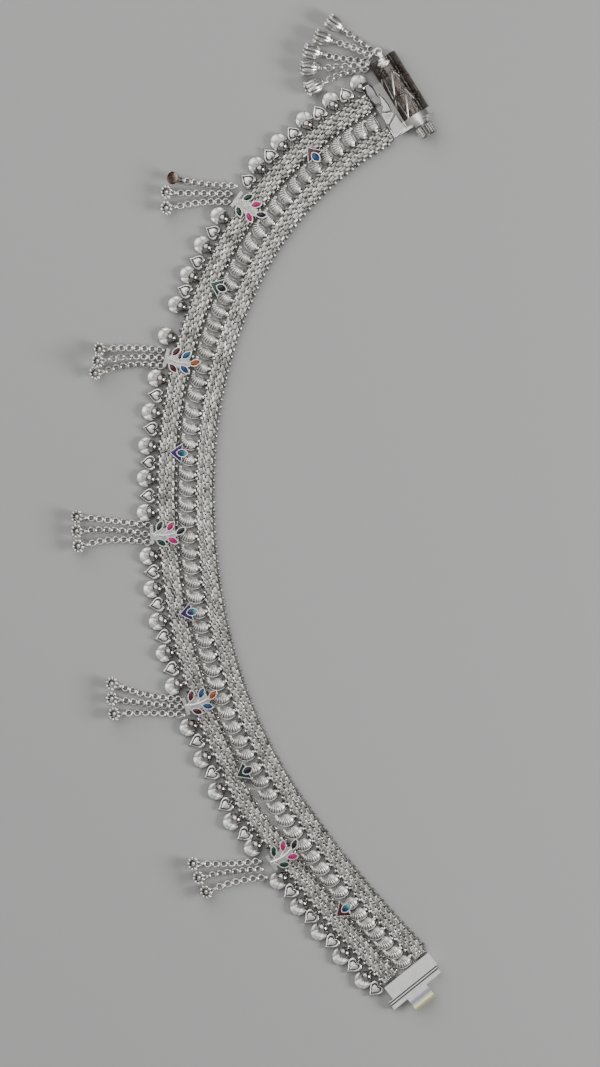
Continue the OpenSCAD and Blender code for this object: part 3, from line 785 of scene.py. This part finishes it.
# A brighter copy of the weave's silver for the dashes, as painted highlights
STROKE = silver(
    "bright_weave", (0.97, 0.96, 0.92), (0.5, 0.49, 0.44), 0.4, 0.24, 0.38, 0.35, 0.02, 0.7)
# Dark with patina and painted shade, for the core seen in the weave's gaps
CORE = silver("dark_weave", (0.12, 0.11, 0.1), (0.05, 0.045, 0.04), 0.5, 0.4, 0.6)
SHELL = silver(
    "shell_silver", (0.9, 0.89, 0.85), (0.64, 0.62, 0.57), 0.25, 0.4, 0.54, 0.5, 0.006, 0.25, 3,
    0.34)
LINK = silver("link_silver", (0.88, 0.87, 0.83), (0.55, 0.53, 0.48), 0.3, 0.14, 0.3, 0.3, 0.01, 0.3)
HEART = silver(
    "heart_silver", (0.9, 0.89, 0.86), (0.56, 0.54, 0.5), 0.25, 0.26, 0.4, 0.4, 0.012, 0.15)
FROST = silver(
    "frosted_silver", (0.95, 0.94, 0.92), (0.82, 0.81, 0.79), 0.35, 0.42, 0.55, 0.12, 0.02, 0.12)
# Darkened and browned to paint the dark, brownish reflections on the polished balls
MIRROR = silver(
    "mirror_silver", (0.5, 0.48, 0.46), (0.26, 0.21, 0.17), 0.3, 0.12, 0.24, 1.2, 0.004, 0.3, 1.8)
CHAIN = silver(
    "chain_silver", (0.82, 0.81, 0.78), (0.66, 0.62, 0.58), 0.2, 0.32, 0.44, 0.3, 0.008, 0.2)
BELL = silver(
    "bell_silver", (0.95, 0.94, 0.91), (0.5, 0.42, 0.38), 0.25, 0.24, 0.4, 0.4, 0.01, 0.15, 1.2)
SETTING = silver(
    "setting_silver", (0.96, 0.95, 0.93), (0.8, 0.78, 0.75), 0.25, 0.32, 0.44, 0.3, 0.01)
PLATE = silver("plate_silver", (0.54, 0.535, 0.51), (0.4, 0.395, 0.37), 0.4, 0.22, 0.36, 0.2, 0.015)
# Darkened to paint the shade in the knob's flutes
KNOB = silver(
    "knob_silver", (0.38, 0.37, 0.35), (0.22, 0.21, 0.19), 0.4, 0.22, 0.34, 0.5, 0.004, 0, 6)
CUP = silver("brown_cup", (0.36, 0.26, 0.2), (0.16, 0.11, 0.09), 0.5, 0.16, 0.3, 0.5, 0.01)
PIN = silver("pin_metal", (0.5, 0.5, 0.49), (0.3, 0.29, 0.27), 0.4, 0.2, 0.35, 0.2, 0.008)
DULL = silver("dull_silver", (0.27, 0.265, 0.275), (0.2, 0.195, 0.2), 0.4, 0.3, 0.44, 0.2, 0.015)
# Dark silver for the outlines round the plate's panels, as painted shadow and dirt at their feet
SHADE = silver("shadow_and_dirt_line", (0.07, 0.06, 0.055), (0.04, 0.035, 0.03), 0.5, 0.4, 0.6)
CLASP = clasp_silver("clasp_silver")
TONGUE = tongue_silver("tongue_silver")
ENAMELS = {
    "pink": enamel("pink_enamel", (0.28, 0.0, 0.075), (0.48, 0.0, 0.16)),
    "green": enamel("green_enamel", (0.001, 0.01, 0.007), (0.003, 0.04, 0.025)),
    "black": enamel("black_enamel", (0.002, 0.003, 0.006), (0.006, 0.007, 0.016)),
    "red": enamel("red_enamel", (0.02, 0.001, 0.004), (0.08, 0.003, 0.012)),
    "blue": enamel("blue_enamel", (0.002, 0.02, 0.068), (0.007, 0.072, 0.185)),
    "orange": enamel("orange_enamel", (0.19, 0.032, 0.002), (0.36, 0.085, 0.004)),
    "violet": enamel("violet_enamel", (0.014, 0.002, 0.05), (0.035, 0.006, 0.1)),
    "cyan": enamel("teal_enamel", (0.003, 0.06, 0.1), (0.01, 0.14, 0.16), (0.002, 0.012, 0.085),
                   (0.16, 0.33, 0.42)),
}


# ---- Woven bands ----

WEAVE_PITCH = 1.95
# The dark core, whose colour is patina and painted shade: how far it stays inside the band's edges,
# and its lower and upper height
CORE_INSET, CORE_LOW, CORE_HIGH, CORE_STEPS = 0.5, 0.4, 1.5, 122
STRIP = brick(1.9, 1.08, 0.64, 0.18)
DASH = brick(1.6, 0.66, 0.66, 0.24)
THIN_DASH = brick(1.64, 0.5, 0.66, 0.22)
EDGE_LOOP = moved(ring(0.54, 0.33, 12, 6), tilt(x=90))
MIDDLE_Z = BAND_T / 2


def both_faces(s, off, lean=0.0, sway=0.0):
    """Two matrices, for a shape on the upper face of a band and one on the lower."""
    for face in (0, 180):
        wobble = tilt(dice.uniform(-sway, sway), dice.uniform(-sway, sway), lean)
        yield seat(s, off, MIDDLE_Z) @ tilt(x=face) @ wobble


def woven_band(name, node, off, width, rows, edges, last, bow):
    """Rows of strips and dashes, and loops along both edges, over a dark core that shows at the
    dashes' ends; its darkness is patina and painted shade. The dashes are in a brighter copy of the
    weave's silver, as painted highlights. A row is (shape, distance across, phase in pitches), cut
    to fit at both ends. An edge's loops are (distance across, lean in degrees)."""
    near, far = CORE_INSET, width - CORE_INSET
    section = ((far, CORE_LOW), (far, CORE_HIGH), (near, CORE_HIGH), (near, CORE_LOW))
    core = [
        [(*seat(s, off + y + bow(s)).translation[:2], z) for y, z in section]
        for s in np.linspace(BAND_FIRST + 0.2, last - 0.2, CORE_STEPS)
    ]
    copies = [(skin(core), Matrix(), 1)]
    half_pitch = WEAVE_PITCH / 2
    places = spaced(BAND_FIRST + half_pitch, last - half_pitch, off + width / 2, WEAVE_PITCH)
    for shape, y, phase in rows:
        whole = [(s + phase * WEAVE_PITCH, 1) for s in places[:-1]]
        cut = [(places[-1] + phase * half_pitch, 1 - phase)]
        if phase:
            cut.append((places[0] - (1 - phase) * half_pitch, phase))
        for s, share in whole + cut:
            across = off + y + bow(s) + dice.uniform(-0.04, 0.04)
            for m in both_faces(s, across, dice.uniform(-4, 4), 4):
                # Strips take the weave's silver and dashes its brighter copy, as painted highlights
                copies.append((shape, m @ size(share, 1, 1), 0 if shape is STRIP else 2))
    for s in [s + half_pitch for s in places[:-1]]:
        for y, lean in edges:
            m = seat(s, off + y + bow(s), MIDDLE_Z) @ tilt(z=lean) @ size(1, 1, 1.08)
            copies.append((EDGE_LOOP, m, 0))
    gather(name, copies, [WOVEN, CORE, STROKE], [node], 40)


woven_band(
    "inner_band_weave", "inner_band", 0, INNER_W,
    ((DASH, 0.92, 0), (STRIP, 1.68, 0.5), (THIN_DASH, 2.38, 0.75), (THIN_DASH, 2.82, 0.25),
     (STRIP, 3.52, 0.5), (DASH, 4.22, 0)),
    ((0.34, 26), (4.7, -26)), INNER_LAST, lambda s: 0)
woven_band(
    "outer_band_weave", "outer_band", OUTER_OFF, OUTER_W,
    ((DASH, 0.98, 0), (STRIP, 1.8, 0.5), (THIN_DASH, 2.56, 0.75), (THIN_DASH, 3.0, 0.25),
     (STRIP, 3.74, 0.5), (DASH, 4.5, 0)),
    ((0.42, 26), (5.04, -26)), OUTER_LAST, away)


# ---- Shells and their links ----

shell_places = [s for run in SHELL_RUNS for s in spread(*run)]
SHELL_SHAPE = shell()
SMALL_RING = ring(0.42, 0.14, 10, 5)
gather(
    "shells",
    [(SHELL_SHAPE, seat(s, SHELL_OFF, 0, swung(5)), 0) for s in shell_places],
    [SHELL], ["shell_row"], 50)
gather(
    "shell_links",
    [(SMALL_RING, seat(s, off, z) @ tilt(x=lean, z=dice.uniform(-25, 25)), 0)
     for s in shell_places
     for off, z, lean in ((INNER_W - 0.05, 1.25, 80), (OUTER_OFF + 0.05 + away(s), 1.1, 75))],
    [LINK])


# ---- Fringe ----

HEART_SHAPE = heart_drop()
FAN_SHAPE = fan_disc()
BALL_R = 1.42
BALL_SHAPE = moved(bead(BALL_R, 20, 12), size(1.08, 1, 1))
DROP_RING = moved(ring(0.48, 0.15, 12, 5), tilt(x=90, z=90))
hearts, fans = fringe_places(False), fringe_places(True)


def drop(s, out):
    """Place of a drop on the fringe, swung a little."""
    return seat(s, FRINGE_OFF + away(s) + out, 0, swung(4))


gather("hearts", [(HEART_SHAPE, drop(s, 0.35), 0) for s in hearts],
       [HEART], ["heart_drops"], 30)
fan_seats = [drop(s, 0.2) for s in fans]
gather("fan_discs", [(FAN_SHAPE, m, 0) for m in fan_seats],
       [FROST], ["fan_drops"], 12)
gather("fan_balls", [(BALL_SHAPE, m @ shift(0, 1.36, BALL_R), 0) for m in fan_seats],
       [MIRROR])
lost_place = spread(*FRINGE_RUNS[LOST_HEART[0]][:3])[LOST_HEART[1]]
gather(
    "drop_rings",
    [(DROP_RING, seat(s, FRINGE_OFF + away(s) + out, 1.15), 0)
     for places, out in ((hearts, 0.25), (fans, 0.0), ([lost_place], 0.35))
     for s in places],
    [LINK])


# ---- Tassels ----


def strand_line(row, steps=200):
    """The strand's centreline from its root to where its bell begins, and its last heading."""
    tassel, x0, y0, x1, y1, x2, y2, root_lift, bell_lift = row
    heading = atan2(y2 - y1, x2 - x1)
    rise, tall = (BUNCH_RISE, BUNCH_BELL_H) if tassel == BUNCH else (BELL_RISE, BELL_H)
    lifted = LIFT_GAP * (root_lift + bell_lift)
    reach = tall * cos(rise) + NECK_R * sin(rise) + STRAND_GAP + lifted
    root, middle = np.array((x0, y0)), np.array((x1, y1))
    end = np.array((x2, y2)) - reach * np.array((cos(heading), sin(heading)))
    line = []
    for t in np.linspace(0, 1, steps):
        flat = (1 - t) * (1 - 2 * t) * root + 4 * t * (1 - t) * middle + t * (2 * t - 1) * end
        line.append((*flat, CHAIN_D / 2 + REST + root_lift * (1 - t * t) + bell_lift * t * t))
    return np.array(line), heading, rise, tall


def facing(direction):
    """Matrix that turns X to that direction, with Z as near to upright as it can be."""
    return direction.to_track_quat("X", "Z").to_matrix().to_4x4()


def on_line(line, run, at):
    """Matrix at a distance along a line, with its X along the line."""
    before, here, after = (
        np.array([np.interp(spot, run, line[:, k]) for k in range(3)])
        for spot in (at - 0.05, at, at + 0.05))
    return shift(*here) @ facing(Vector(after - before))


LINK_PITCH = 2.08
# The links that tie the bunch: their length, the pitch they are fitted to, how much they overlap
# by, and the radius of the ring they begin on
TIE_LENGTH, TIE_PITCH, TIE_OVERLAP, BUNCH_RING_R = 1.37, 1.2, 0.35, 0.8
FLAT_LINK = moved(ring(0.74, 0.27, 16, 8), size(1, 1, 0.85))
UPRIGHT_LINK, TIE_LINK = (
    moved(ring(0.42, 0.15, 10, 6), size(1.2, across, 1.1) @ tilt(x=90)) for across in (2.3, 1.2))
BELL_SHAPE, CUP_SHAPE = bell(BELL_D, BELL_H), plain_cup()
BUNCH_SHAPE = bell(BUNCH_BELL_D, BUNCH_BELL_H, collar=0.16, swell=0.17, fluting=0.75)


def chain_links(row):
    """Flat round links joined by upright ones, which turn over in places along the strand."""
    line = strand_line(row)[0]
    run = run_along(line)
    count = round(run[-1] / LINK_PITCH)
    pitch = run[-1] / count
    twist = dice.uniform(-30, 30)
    copies = [(UPRIGHT_LINK, on_line(line, run, 0), 0)]
    for i in range(count):
        roll = twist * sin(pi * i / count)
        copies.append((FLAT_LINK, on_line(line, run, (i + 0.5) * pitch) @ tilt(x=roll), 0))
        copies.append((UPRIGHT_LINK, on_line(line, run, (i + 1) * pitch) @ tilt(x=roll), 0))
    return copies


def tie_links(rows):
    """Small links, turned by quarters, that tie the bunch's strands to one another and to its
    ring."""
    ring_middle = sum((Vector(corner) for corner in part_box("bunch_ring")), Vector()) / 2 / MM
    roots = [Vector(strand_line(row)[0][0]) for row in rows]
    copies = []
    for stops in ((0, 2, 4), (1, 3)):
        here = ring_middle + (roots[stops[0]] - ring_middle).normalized() * BUNCH_RING_R
        for there in (roots[i] for i in stops):
            span = there - here
            count = max(1, round(span.length / TIE_PITCH))
            longer = (span.length / count + TIE_OVERLAP) / TIE_LENGTH
            for i in range(count):
                spot = shift(*(here + span * (i + 0.5) / count))
                turned = facing(span) @ tilt(x=90 * i) @ size(longer, 1, 1)
                copies.append((TIE_LINK, spot @ turned, 0))
            here = there
    return copies


def bell_seat(row, shape):
    """Matrix of a bell, mouth on top of its own Z, lowered until it just clears the surface."""
    heading, rise, tall = strand_line(row, 2)[1:]
    turned = (
        Matrix.Rotation(heading, 4, "Z") @ Matrix.Rotation(pi / 2 - rise, 4, "Y")
        @ shift(0, 0, -tall)
    )
    lowest = moved(shape, turned)[0][:, 2].min()
    return shift(row[5], row[6], REST - lowest + row[8]) @ turned


for tassel in range(1, 7):
    rows = [row for row in STRANDS if row[0] == tassel]
    links = [link for row in rows for link in chain_links(row)]
    if tassel == BUNCH:
        links += tie_links(rows)
    gather(f"tassel_links_{tassel}", links,
           [CHAIN], [f"tassel_chains_{tassel}"], 60)
    bells = []
    for row in rows:
        cup = row is STRANDS[0]
        shape = CUP_SHAPE if cup else BUNCH_SHAPE if tassel == BUNCH else BELL_SHAPE
        bells.append((shape, bell_seat(row, shape), int(cup)))
    gather(f"bells_{tassel}", bells, [BELL, CUP], [f"tassel_bells_{tassel}"])


# ---- Enamel ----

# Heights on the sprigs and tulips: their underside, the floor of their cells, the middle of the
# cells' rims, and the middle of the stems
SETTING_Z = BAND_T + 0.05
CELL_Z = SETTING_Z + 0.45
RIM_Z = CELL_Z + 0.34
STEM_Z = SETTING_Z + 0.75


def lens_points(length, width, count=9):
    """Outline of a leaf, pointed at both ends, along X."""
    r = (length**2 + width**2) / (4 * width)
    half = asin(length / 2 / r)
    angles = np.linspace(half, -half, count)
    arc = [(r * sin(a), r * cos(a) - r + width / 2) for a in angles]
    return arc + [(-x, -y) for x, y in arc[1:-1]]


# How a shape rises from its outline, as (share of its height, scale)
DOME = ((0.45, 1.0), (0.22, 0.9), (0.18, 0.86), (0.1, 0.75), (0.05, 0.55))
LEVEL = ((0.88, 1.0), (0.08, 0.97), (0.04, 0.9))
SLOPED = ((0.5, 1.0), (0.5, 0.86))


def raised(outline, height, steps=DOME, middle=(0, 0), wear_and_shade=None):
    """A shape that rises from an outline by steps, scaled about its middle."""
    shape = flat_face(outline)
    step_up(steps, height, middle)
    return take(shape, wear_and_shade)


def on_sprig(place, x, y, z, heading=0.0):
    """Matrix at x, y on the sprig that is at a place."""
    return seat(place, 0, z) @ shift(x, y, 0) @ tilt(z=heading)


DROP_SEAT = shift(0, 8.7, 0) @ tilt(z=90)
ENAMEL_H, DROP_LENGTH = 0.42, 2.45
LEAF_DOME = raised(lens_points(2.6, 1.24), ENAMEL_H)
# The drop's point value is how far along it each point lies, for its enamel's shading
DROP_DOME = moved(
    raised(lens_points(DROP_LENGTH, 1.6), ENAMEL_H, wear_and_shade=lambda x, y, z: 0.5 + x / DROP_LENGTH),
    DROP_SEAT)
VEE_DOME = raised(
    [(-2.3, 8.9), (-1.08, 8.9), (0, 10.4), (1.08, 8.9), (2.3, 8.9), (0, 11.78)],
    ENAMEL_H, LEVEL, (0, 10.4))
# Enamel that ran beside the stem of the second sprig
SPILL = raised(
    [(0.65, 0), (0.3, 0.42), (-0.35, 0.35), (-0.6, -0.1), (-0.1, -0.45), (0.4, -0.35)], 0.3)
SPILL_SPRIG, SPILL_SPOT = 1, (1.0, 13.2)
for colour, material in ENAMELS.items():
    copies = []
    for sprig, place in enumerate(LEAF_PLACES):
        for own, (x, y, heading) in zip(LEAF_COLOURS[sprig % 2], LEAF_CELLS):
            if own == colour:
                copies.append((LEAF_DOME, on_sprig(place, x, y, CELL_Z, heading), 0))
    for (vee, drop_colour), place in zip(TULIP_COLOURS, TULIP_PLACES):
        if vee == colour:
            copies.append((VEE_DOME, seat(place, 0, CELL_Z), 0))
        if drop_colour == colour:
            copies.append((DROP_DOME, seat(place, 0, CELL_Z), 0))
    if colour == "red":
        copies.append((SPILL, on_sprig(LEAF_PLACES[SPILL_SPRIG], *SPILL_SPOT, CELL_Z - 0.1), 0))
    gather(f"{colour}_enamel", copies, [material], [f"enamel_{colour}"], 60)


# ---- Rims and stems ----


def wire_along(points, wire, closed=False, sides=6, taper=None):
    """Round wire along a list of points; taper gives its thickness at each point."""
    line = np.array(points, float)
    rings = []
    for i, p in enumerate(line):
        before = line[i - 1] if i or closed else p
        after = line[(i + 1) % len(line)] if i < len(line) - 1 or closed else p
        frame_here = Vector(after - before).to_track_quat("X", "Z").to_matrix()
        r = wire * (taper[i] if taper else 1)
        rings.append([
            tuple(Vector(p) + frame_here @ Vector((0, r * cos(a), r * sin(a))))
            for a in np.linspace(0, 2 * pi, sides, endpoint=False)
        ])
    return skin(rings + rings[:1] if closed else rings)


def rim(outline, wire=0.13):
    return wire_along([(x, y, 0) for x, y in outline], wire, closed=True)


LEAF_RIM = rim(lens_points(3.06, 1.56, 8))
DROP_RIM = moved(rim(lens_points(2.95, 1.98, 8), 0.15), DROP_SEAT)
VEE_RIM = wire_along(
    [(-1.0, 8.8, 0), (-2.48, 8.74, 0), (0, 11.94, 0), (2.48, 8.74, 0), (1.0, 8.8, 0)], 0.14)


def stem():
    """Bowed stem from the bar to the foremost leaf, and a vein to each leaf of a pair."""
    taper = [1, 1, 0.95, 0.9, 0.85, 0.8, 0.7, 0.6, 0.4]
    spine = [
        (0.35 - 0.25 * t - 0.55 * sin(pi * t), 16.7 - 6.4 * t, 0)
        for t in np.linspace(0, 1, len(taper))
    ]
    main = wire_along(spine, 0.4, taper=taper, sides=8)
    veins = []
    for x, y, heading in LEAF_CELLS[1:]:
        a = radians(heading)
        foot = (x - 1.55 * cos(a), y - 1.55 * sin(a), 0)
        root = (0.1 * np.sign(x), min(foot[1] + 0.9, 16.3), 0)
        knee = ((root[0] + foot[0]) / 2, (root[1] + foot[1]) / 2 - 0.1, 0)
        veins.append(wire_along([root, knee, foot], 0.2, taper=[1.2, 1, 0.7]))
    return joined(main, *veins)


STEM = stem()
settings = []
for place in LEAF_PLACES:
    settings += [(LEAF_RIM, on_sprig(place, x, y, RIM_Z, heading), 0)
                 for x, y, heading in LEAF_CELLS]
    settings.append((STEM, seat(place, 0, STEM_Z), 0))
for place in TULIP_PLACES:
    settings += [(DROP_RIM, seat(place, 0, RIM_Z), 0), (VEE_RIM, seat(place, 0, RIM_Z), 0)]
gather("rims_and_stems", settings, [SETTING], crease=50)
# The bead of solder at each shell's fat end, on the inner band's edge
SOLDER_BEAD = moved(bead(0.5, 12, 8), shift(-0.1, 0.12, 1.3))
gather("shell_beads", [(SOLDER_BEAD, seat(s, INNER_W), 0) for s in shell_places],
       [SETTING])


# ---- Clasp ----


def on_clasp(across, down):
    """A pixel of the photograph as a point in the clasp's own directions."""
    return seat(CLASP_S, 0).inverted() @ Vector((*from_photo(across, down), 0))


def barrel_line(x0, y0, x1, y1, width):
    """A raised half-round line that follows the barrel's top from one pixel to another."""
    start, end = on_clasp(x0, y0), on_clasp(x1, y1)
    side = (end - start).cross(Vector((0, 0, 1))).normalized() * width / 2
    rings = []
    for t in np.linspace(0, 1, 9):
        p = start.lerp(end, t)
        taper = 0.35 if t in (0, 1) else 1
        points = []
        for across, lift in ((-1, -0.15), (-0.6, 0.14), (0, 0.26), (0.6, 0.14), (1, -0.15)):
            q = p + side * across * taper
            inside = max(BARREL_R**2 - q.x**2, 0.1)
            points.append((q.x, q.y, BARREL_TOP - BARREL_R + sqrt(inside) + lift * taper))
        rings.append(points)
    return skin(rings)


# How thick the clasp's end plate is
PLATE_T = 2.5
# How far the panels begin in the plate and stay off the barrel, and how much larger their dark
# outline of painted shadow and dirt and smaller their bright wires of painted highlight are
SUNK, BARREL_GAP, OUTLINE_SCALE, WIRE_SCALE = 0.1, 0.15, 1.07, 0.93


def scaled(outline, scale):
    """An outline scaled about its middle."""
    middle = np.mean(outline, axis=0)
    return [tuple(middle + scale * (np.array(p) - middle)) for p in outline]


# Each relief has its material's number in the call that gathers them
reliefs, corners = [], {}
for name, (pixels, height) in PLATE_PANELS.items():
    points = [on_clasp(*pixel) for pixel in pixels]
    outline = corners[name] = [(min(p.x, PLATE_EDGE - BARREL_GAP), p.y) for p in points]
    panel = raised(outline, height + SUNK, SLOPED, np.mean(outline, axis=0))
    reliefs.append((panel, seat(CLASP_S, 0, PLATE_T - SUNK), 3 if name in DULL_PANELS else 0))
    # A dark wire round each panel's foot, as painted shadow and dirt
    reliefs.append((rim(scaled(outline, OUTLINE_SCALE), 0.11), seat(CLASP_S, 0, PLATE_T), 1))
for name, first, last, wire in PANEL_EDGES:
    within = scaled(corners[name], WIRE_SCALE)
    lift = PLATE_PANELS[name][1] * 0.75
    # A bright wire along a lit edge, as a painted highlight
    ends = wire_along([(*within[first], 0), (*within[last], 0)], wire)
    reliefs.append((ends, seat(CLASP_S, 0, PLATE_T + lift), 2))
gather("plate_reliefs", reliefs, [PLATE, SHADE, SETTING, DULL], crease=20)
gather("barrel_lines", [(barrel_line(*row), seat(CLASP_S, 0), 0) for row in BARREL_LINES],
       [SETTING], crease=70)

# The knob's axis, its radius, and its ridges' own radius and number. The ridges are bright wires,
# painted highlights, on a knob whose silver is darkened as painted shade in its flutes.
AXIS_Z, KNOB_R, RIDGE_R, FLUTES = 2.6, 2.45, 0.13, 18
KNOB_RIDGE = wire_along([(0, y, KNOB_R - RIDGE_R) for y in (-0.35, -1.6, -2.85)], RIDGE_R)
gather("knob_ridges",
       [(KNOB_RIDGE, seat(CLASP_S, 0, AXIS_Z) @ tilt(y=90 + 360 * k / FLUTES), 0)
        for k in range(FLUTES)],
       [SETTING], crease=70, body="screw_knob")

FINISHES = {
    "clasp_box": CLASP, "tongue_plate": TONGUE, "screw_knob": KNOB, "screw_pin": PIN,
    "bunch_ring": SETTING,
    **{f"leaf_plate_{i}": PLATE for i in range(1, 6)},
    **{f"tulip_plate_{i}": PLATE for i in range(1, 7)},
}
for name, material in FINISHES.items():
    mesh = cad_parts[name].data
    mesh.materials.clear()
    mesh.materials.append(material)


# ---- Floor, light and camera ----


floor = begin(bpy.ops.mesh.primitive_plane_add, size=2.4, location=(0, 0, -0.0001))
floor.name = "floor"
paint, _, paint_shader = new_material("pale_floor")
plug(paint_shader, {"Base Color": (0.35, 0.35, 0.345, 1), "Roughness": 0.9})
floor.data.materials.append(paint)

for name, place, across, energy in (
    ("overhead", (0.05, 0.05, 1.9), 1.6, 3.7), ("key", (-0.35, 0.45, 0.6), 1.2, 8),
    ("side", (0.7, -0.1, 0.4), 0.35, 6), ("low", (-0.3, -0.6, 0.35), 1.4, 1.5),
):
    light = bpy.data.lights.new(name, "AREA")
    light.shape, light.size, light.energy = "DISK", across, energy
    lamp = put(name, light)
    lamp.location = place
    lamp.rotation_euler = (-Vector(place)).to_track_quat("-Z", "Y").to_euler()
world = bpy.data.worlds.new("studio")
world.use_nodes = True
world.node_tree.nodes["Background"].inputs["Color"].default_value = (0.1, 0.1, 0.105, 1)
bpy.context.scene.world = world

LENS, SENSOR = 180, 36
centre = from_photo(PHOTO_SIZE[0] / 2, PHOTO_SIZE[1] / 2)
camera_data = bpy.data.cameras.new("camera")
camera_data.lens, camera_data.sensor_width = LENS, SENSOR
camera_data.clip_start, camera_data.clip_end = 0.05, 10
camera = put("camera", camera_data)
above = PHOTO_SIZE[1] * PIXEL * LENS / SENSOR + BAND_T
camera.location = (centre[0] * MM, centre[1] * MM, above * MM)
bpy.context.scene.camera = camera
